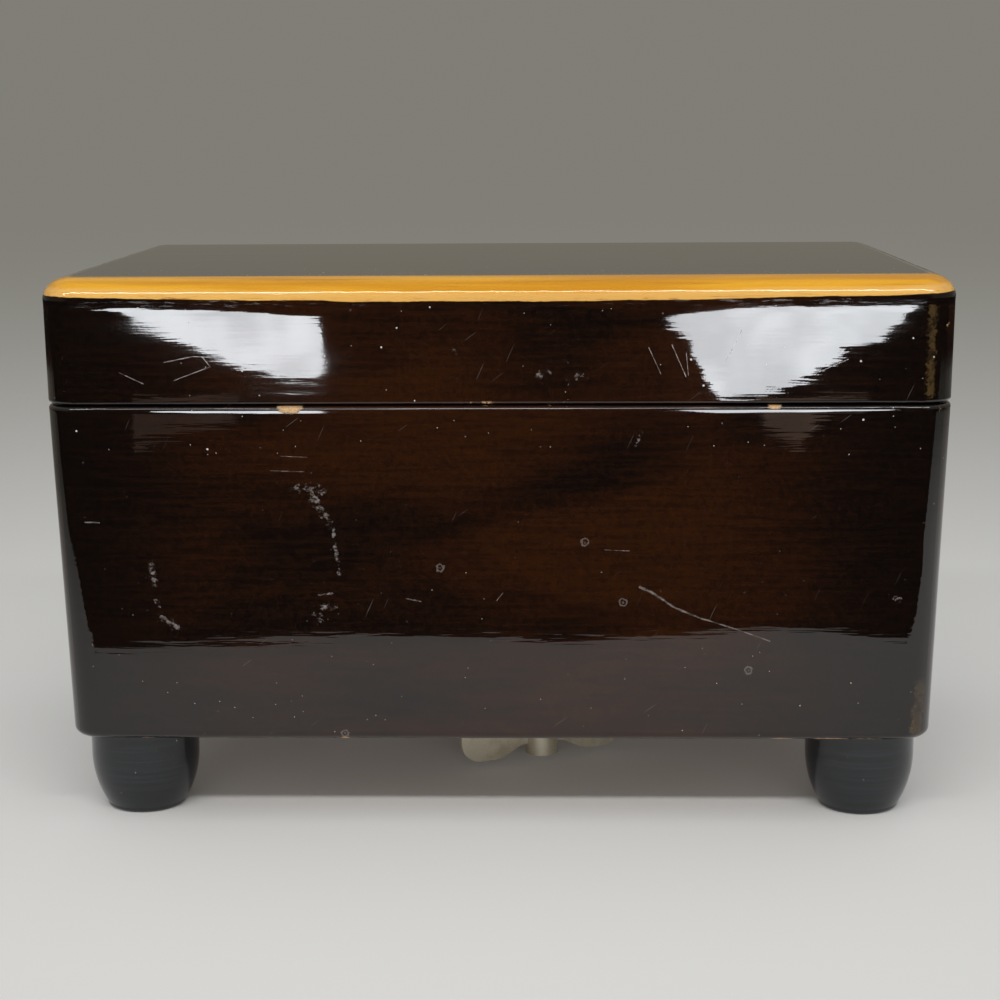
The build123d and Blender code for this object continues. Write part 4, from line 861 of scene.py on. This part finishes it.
def pillow_grid(width, depth):
    """Two sheets sewn round their edge, slightly parted, with the seam's point order."""
    mesh = bmesh.new()
    top = sheet_points(mesh, width, depth, 1, None)
    low = sheet_points(mesh, width, depth, -1, top)
    for points, side in ((top, 1), (low, -1)):
        for i in range(PAD_COLUMNS):
            for j in range(PAD_ROWS):
                loop = [points[i, j], points[i + 1, j], points[i + 1, j + 1], points[i, j + 1]]
                mesh.faces.new(loop[::side])
    mesh.verts.index_update()
    order = [top[key].index for key in seam_keys()]
    made = bpy.data.meshes.new("pillow")
    mesh.to_mesh(made)
    mesh.free()
    return made, order


def inflate(mesh, seam):
    """Blows the sewn sheets up with their seam held, and returns the points they end at."""
    scene = bpy.context.scene
    stand_in = bpy.data.objects.new("pillow_sim", mesh)
    scene.collection.objects.link(stand_in)
    stand_in.vertex_groups.new(name="seam").add(seam, 1.0, "REPLACE")
    cloth = stand_in.modifiers.new("Cloth", "CLOTH")
    cloth.settings.vertex_group_mass = "seam"
    cloth.settings.shrink_min = -SIM_SLACK
    cloth.settings.quality = 5
    cloth.settings.mass = 0.3
    cloth.settings.tension_stiffness = 18.0
    cloth.settings.compression_stiffness = 14.0
    cloth.settings.shear_stiffness = 6.0
    cloth.settings.bending_stiffness = 0.25
    cloth.settings.use_pressure = True
    cloth.settings.uniform_pressure_force = SIM_PRESSURE
    cloth.settings.effector_weights.gravity = 0.0
    cloth.point_cache.frame_start = 1
    cloth.point_cache.frame_end = SIM_FRAMES
    for step in range(1, SIM_FRAMES + 1):
        scene.frame_set(step)
    shown = stand_in.evaluated_get(bpy.context.evaluated_depsgraph_get())
    points = [point.co.copy() for point in shown.data.vertices]
    bpy.data.objects.remove(stand_in)
    scene.frame_set(1)
    return points


def fitted(points, low, high):
    """Scales simulated points into a box, flat where the cushion rests."""
    axes = range(3)
    least = [min(point[k] for point in points) for k in axes]
    most = [max(point[k] for point in points) for k in axes]
    least[2] += PAD_FLAT_SHARE * (most[2] - least[2])
    placed = []
    for point in points:
        share = [(max(point[k], least[k]) - least[k]) / (most[k] - least[k]) for k in axes]
        placed.append(Vector([low[k] + share[k] * (high[k] - low[k]) for k in axes]))
    return placed


def add_welt(mesh, loop, radius):
    """Sews a thin cord along a closed loop of points."""
    rings = []
    count = len(loop)
    for index, point in enumerate(loop):
        ahead = (loop[(index + 1) % count] - loop[index - 1]).normalized()
        out = ahead.cross(Vector((0, 0, 1))).normalized()
        up = out.cross(ahead)
        turns = [2 * math.pi * side / WELT_SIDES for side in range(WELT_SIDES)]
        spokes = [math.cos(turn) * out + math.sin(turn) * up for turn in turns]
        rings.append([mesh.verts.new(point + radius * spoke) for spoke in spokes])
    for index in range(count):
        near, far = rings[index], rings[(index + 1) % count]
        for side in range(WELT_SIDES):
            after = (side + 1) % WELT_SIDES
            mesh.faces.new((near[side], near[after], far[after], far[side]))


def mesh_from(mesh, name):
    """Turns a bmesh into a mesh with outward faces."""
    bmesh.ops.recalc_face_normals(mesh, faces=mesh.faces)
    made = bpy.data.meshes.new(name)
    mesh.to_mesh(made)
    mesh.free()
    return made


def cushion_mesh(name, grid, seam, points, low, high):
    """The fitted cushion with a welt along its seam."""
    margin = Vector((WELT_RADIUS * MM, WELT_RADIUS * MM, 0))
    placed = fitted(points, low + margin, high - margin)
    mesh = bmesh.new()
    mesh.from_mesh(grid)
    for point, place in zip(mesh.verts, placed):
        point.co = place
    rest = low.z + WELT_RADIUS * MM
    loop = [Vector((placed[k].x, placed[k].y, max(placed[k].z, rest))) for k in seam]
    add_welt(mesh, loop, WELT_RADIUS * MM)
    return mesh_from(mesh, name)


def add_cushions(material):
    """Both well cushions, from one simulation, turned round for the second."""
    low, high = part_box("left_well_pad")
    grid, seam = pillow_grid((high.x - low.x) * SIM_SCALE, (high.y - low.y) * SIM_SCALE)
    points = inflate(grid, seam)
    for side, flip in (("left", 1), ("right", -1)):
        name, node = side + "_cushion", side + "_well_pad"
        turned = [Vector((flip * point.x, flip * point.y, point.z)) for point in points]
        mesh = cushion_mesh(name, grid, seam, turned, *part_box(node))
        finished_object(name, mesh, "case", material, node)


# Velvet over card and padding
PANEL_STEP = 1.2
CARD_THICK = 1.2
CARD_ROLL = 0.9
CARD_SEAM = 0.42
CARD_GAP = 0.02
LINING_ROLL = 1.8
LINING_SEAM = 0.55
LINING_GAP = 0.05
MIRROR_LAP = 2.5
RIPPLE_SIZE = 6.0
RIPPLE_SHARE = 0.12


def panel_height(u, v, long_u, long_v, point, thickness, seam_share, roll, seed):
    """How far a padded panel stands out at one place: sunk at its seams, rippled between."""
    from_u = min(u, 1 - u) * long_u
    from_v = min(v, 1 - v) * long_v
    rise = (1 - math.exp(-from_u / roll)) * (1 - math.exp(-from_v / roll))
    ripple = noise.noise(point / (RIPPLE_SIZE * MM) + Vector((seed, 0, 0))) * RIPPLE_SHARE
    height = seam_share + (1 - seam_share) * rise * (1 - RIPPLE_SHARE + ripple)
    return thickness * min(height, 1.0)


def panel(mesh, corners, inward, thickness, seam_share, roll, seed, gap):
    """Adds one padded panel on four corner points: flat back, crowned front, sunk seams."""
    a, b, c, d = corners
    long_u, long_v = (b - a).length, (d - a).length
    steps_u = max(6, int(long_u / (PANEL_STEP * MM)))
    steps_v = max(6, int(long_v / (PANEL_STEP * MM)))
    front, back = {}, {}
    for i in range(steps_u + 1):
        for j in range(steps_v + 1):
            u, v = i / steps_u, j / steps_v
            point = a.lerp(b, u).lerp(d.lerp(c, u), v)
            height = panel_height(u, v, long_u, long_v, point, thickness, seam_share, roll, seed)
            front[i, j] = mesh.verts.new(point + inward * height)
            if i in (0, steps_u) or j in (0, steps_v):
                back[i, j] = mesh.verts.new(point + inward * gap)
    for i in range(steps_u):
        for j in range(steps_v):
            mesh.faces.new((front[i, j], front[i + 1, j], front[i + 1, j + 1], front[i, j + 1]))
    rim = [(i, 0) for i in range(steps_u)] + [(steps_u, j) for j in range(steps_v)]
    rim += [(i, steps_v) for i in range(steps_u, 0, -1)] + [(0, j) for j in range(steps_v, 0, -1)]
    for index, key in enumerate(rim):
        after = rim[(index + 1) % len(rim)]
        mesh.faces.new((front[key], front[after], back[after], back[key]))
    mesh.faces.new([back[key] for key in reversed(rim)])


def add_well_lining(side, material):
    """Four velvet-covered cards round the walls of a well."""
    name, node = side + "_well_velvet", side + "_well_lining"
    low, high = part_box(node)
    mesh = bmesh.new()
    inset = CARD_THICK * MM
    walls = (
        ((low.x, low.y), (high.x, low.y), Vector((0, 1, 0))),
        ((high.x, high.y), (low.x, high.y), Vector((0, -1, 0))),
        ((low.x, high.y - inset), (low.x, low.y + inset), Vector((1, 0, 0))),
        ((high.x, low.y + inset), (high.x, high.y - inset), Vector((-1, 0, 0))),
    )
    rise = Vector((0, 0, high.z - low.z))
    for seed, (start, end, inward) in enumerate(walls):
        a = Vector((start[0], start[1], low.z))
        b = Vector((end[0], end[1], low.z))
        corners = (a, b, b + rise, a + rise)
        panel(mesh, corners, inward, inset, CARD_SEAM, CARD_ROLL * MM, seed * 3.3, CARD_GAP * MM)
    finished_object(name, mesh_from(mesh, name), "case", material, node)


def add_lid_lining(material):
    """Padded frame round the mirror, mitred at its corners."""
    low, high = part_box("lid_lining")
    glass_low, glass_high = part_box("mirror")
    lap = MIRROR_LAP * MM
    outer = ((low.x, low.y), (high.x, low.y), (high.x, high.y), (low.x, high.y))
    inner = (
        (glass_low.x + lap, glass_low.y + lap),
        (glass_high.x - lap, glass_low.y + lap),
        (glass_high.x - lap, glass_high.y - lap),
        (glass_low.x + lap, glass_high.y - lap),
    )
    mesh = bmesh.new()
    down = Vector((0, 0, -1))
    gap = glass_high.z - glass_low.z + LINING_GAP * MM
    for k in range(4):
        after = (k + 1) % 4
        around = outer[k], outer[after], inner[after], inner[k]
        corners = tuple(Vector((x, y, high.z)) for x, y in around)
        seed = 20 + k * 5.1
        panel(mesh, corners, down, high.z - low.z, LINING_SEAM, LINING_ROLL * MM, seed, gap)
    made = mesh_from(mesh, "lid_padding")
    finished_object(made.name, made, "lid", material, "lid_lining")


def add_soft_pieces():
    """Every velvet piece, each as its own object."""
    red = velvet("red_velvet")
    add_cushions(red)
    add_well_lining("left", red)
    add_well_lining("right", red)
    add_lid_lining(red)


def stage_sheet(name, corners, material):
    """A flat stage piece on the given corners."""
    mesh = bpy.data.meshes.new(name)
    mesh.from_pydata([Vector(corner) * MM for corner in corners], [], [tuple(range(len(corners)))])
    mesh.materials.append(material)
    made = bpy.data.objects.new(name, mesh)
    bpy.context.scene.collection.objects.link(made)
    return made


def only_in_gloss(piece):
    """Leaves a stage piece visible in reflections alone."""
    for kind in ("camera", "diffuse", "shadow", "transmission", "volume_scatter"):
        setattr(piece, "visible_" + kind, False)


def floor_material():
    """Pale floor with painted shade: it darkens into the background away from the box, and dims
    far out in reflections.
    """
    made, g, shader = new_material("floor")
    place = g.place()
    away = g.vector("LENGTH", place)
    aside = g.vector("DISTANCE", place, GLOSS_CENTRE)
    # Painted shade: the floor darkens towards the background colour from FADE_START outwards
    reach = g.math("DIVIDE", g.less(FADE_START, away), FADE_LENGTH)
    far = g.math("SUBTRACT", 1.0, g.math("POWER", math.e, reach), clamp=True)
    g.put(shader.inputs["Base Color"], FLOOR_COLOUR)
    shader.inputs["Roughness"].default_value = 0.9
    shader.inputs["Specular IOR Level"].default_value = 0.0
    # Painted shade for reflections: the floor glows dimmer, then dark, further out
    dimmed = g.mix(g.span(away, GLOSS_FAR, GLOSS_EDGE), GLOSS_DIM, GLOSS_DARK)
    path = g.add("ShaderNodeLightPath").outputs
    to_camera = g.times(far, path["Is Camera Ray"])
    to_gloss = g.times(g.span(aside, GLOSS_NEAR, GLOSS_MIDDLE), path["Is Glossy Ray"])
    shown = g.shaders(to_camera, shader.outputs[0], g.glow(BACKGROUND))
    out = next(each for each in g.tree.nodes if each.type == "OUTPUT_MATERIAL")
    g.put(out.inputs["Surface"], g.shaders(to_gloss, shown, g.glow(dimmed)))
    return made


def glow_graph(name):
    """A stage material with an empty graph."""
    made = bpy.data.materials.new(name)
    made.use_nodes = True
    made.node_tree.nodes.clear()
    return made, Graph(made.node_tree)


def shade_sheet_material():
    """The dark sheet in front, painted shade of the unlit room as reflections see it."""
    made, g = glow_graph("shade_sheet")
    g.add("ShaderNodeOutputMaterial", {"Surface": g.glow(SHADE_SHEET_COLOUR)})
    return made


def card_material(name, colour, strength):
    """Light card: a little uneven, and there only for surfaces close to it."""
    made, g = glow_graph(name)
    place = g.place()
    light = g.span(g.noise(place, 0.05, 2.0), 0.3, 0.7, 0.75 * strength, strength)
    clear = g.add("ShaderNodeBsdfTransparent").outputs[0]
    away = g.add("ShaderNodeLightPath").outputs["Ray Length"]
    far = g.math("GREATER_THAN", away, CARD_REACH * MM)
    g.add("ShaderNodeOutputMaterial", {"Surface": g.shaders(far, g.glow(colour, light), clear)})
    return made


def camera_axes():
    """The camera's directions right, up and ahead, from its pitch, yaw and roll."""
    pitch, yaw, roll = map(math.radians, (CAMERA_PITCH, CAMERA_YAW, CAMERA_ROLL))
    level = math.cos(pitch)
    ahead = Vector((math.sin(yaw) * level, math.cos(yaw) * level, -math.sin(pitch)))
    right = Vector((math.cos(yaw), -math.sin(yaw), 0.0))
    up = right.cross(ahead)
    turned_up = up * math.cos(roll) - right * math.sin(roll)
    return right * math.cos(roll) + up * math.sin(roll), turned_up, ahead


def lid_slope(z):
    """Slope of the lid's front at a height: it leans out, and back again towards the rim."""
    tall = LEAN_HIGH - LEAN_LOW
    share = min(max((z - LEAN_LOW) / tall, 0.0), 1.0)
    return LID_SLOPE - LEAN_DEPTH * 6.0 * share * (1.0 - share) / tall


def mirrored(pixel):
    """Place (x, z) on the cards' plane that the lid's front mirrors into a pixel."""
    right, up, ahead = camera_axes()
    half = PHOTO_SIZE / 2
    across, down = ((part - half) * SENSOR_WIDTH / FOCAL_LENGTH / PHOTO_SIZE for part in pixel)
    start = Vector(CAMERA_PLACE)
    way = ahead + right * across - up * down
    hit = start + way * (LID_FRONT_Y - start.y) / way.y
    way = way.reflect(Vector((0.0, -1.0, -lid_slope(hit.z))))
    place = hit + way * (CARD_Y - hit.y) / way.y
    return place.x, place.z


def add_stage():
    """Floor, the dark sheet of painted shade that only reflections see, and the light cards."""
    reach = FLOOR_REACH
    corners = ((-reach, -reach, 0), (reach, -reach, 0), (reach, reach, 0), (-reach, reach, 0))
    stage_sheet("floor", corners, floor_material())
    dark = [(x, y, SHADE_SHEET_LIFT) for x, y in SHADE_SHEET]
    only_in_gloss(stage_sheet("shade_sheet", dark, shade_sheet_material()))
    cards = (
        ("left_card", map(mirrored, LEFT_WINDOW), CARD_COLOUR, CARD_LIGHT),
        ("right_card", map(mirrored, RIGHT_WINDOW), CARD_COLOUR, CARD_LIGHT),
        ("left_dim_card", LEFT_DIM_CARD, LEFT_DIM, 1.0),
        ("right_dim_card", RIGHT_DIM_CARD, RIGHT_DIM, 1.0),
    )
    for name, card, colour, strength in cards:
        material = card_material(name, colour, strength)
        only_in_gloss(stage_sheet(name, [(x, CARD_Y, z) for x, z in card], material))


def add_lamp(name, place, aim, size, power, in_gloss):
    """A soft rectangular lamp turned towards a point."""
    lamp = bpy.data.lights.new(name, "AREA")
    lamp.shape = "RECTANGLE"
    lamp.size, lamp.size_y = size[0] * MM, size[1] * MM
    lamp.energy = power
    made = bpy.data.objects.new(name, lamp)
    made.location = Vector(place) * MM
    towards = (Vector(aim) - Vector(place)).normalized()
    made.rotation_mode = "QUATERNION"
    made.rotation_quaternion = towards.to_track_quat("-Z", "Y")
    made.visible_glossy = in_gloss
    bpy.context.scene.collection.objects.link(made)


def add_world():
    """Soft surroundings: plain to the camera, dark to the front in reflections."""
    world = bpy.data.worlds.new("studio")
    world.use_nodes = True
    bpy.context.scene.world = world
    g = Graph(world.node_tree)
    g.tree.nodes.clear()
    y, z = g.parts(g.add("ShaderNodeTexCoord").outputs["Generated"])[1:]
    front = g.span(g.times(y, -1.0), 0.80, 0.93)
    up = g.span(z, 0.20, 0.70)
    around = g.blend(up, ROOM_LOW, ROOM_HIGH)
    in_gloss = g.blend(g.times(front, g.less(1.0, up)), around, ROOM_FRONT)
    tint = g.mix(up, ROOM_LOW_TINT, ROOM_HIGH_TINT)
    path = g.add("ShaderNodeLightPath").outputs
    plain = g.glow(WORLD_COLOUR, WORLD_LIGHT, "Background")
    shown = g.shaders(path["Is Glossy Ray"], plain, g.glow(tint, in_gloss, "Background"))
    shown = g.shaders(path["Is Camera Ray"], shown, g.glow(BACKGROUND, 1.0, "Background"))
    g.add("ShaderNodeOutputWorld", {"Surface": shown})


def add_camera():
    """The photograph's view, from its measured place and angles."""
    camera = bpy.data.cameras.new("camera")
    camera.lens = FOCAL_LENGTH
    camera.sensor_width = SENSOR_WIDTH
    camera.clip_start = 0.01
    camera.clip_end = 50.0
    made = bpy.data.objects.new("camera", camera)
    right, up, ahead = camera_axes()
    axes = Matrix((right, up, -ahead)).transposed().to_4x4()
    made.matrix_world = Matrix.Translation(Vector(CAMERA_PLACE) * MM) @ axes
    bpy.context.scene.collection.objects.link(made)
    bpy.context.scene.camera = made


def main():
    """Builds the whole scene."""
    bpy.context.scene.view_settings.view_transform = "Standard"
    dress_case()
    dress_glass()
    dress_metal()
    add_soft_pieces()
    add_stage()
    add_world()
    for lamp in LAMPS:
        add_lamp(*lamp)
    add_camera()


main()
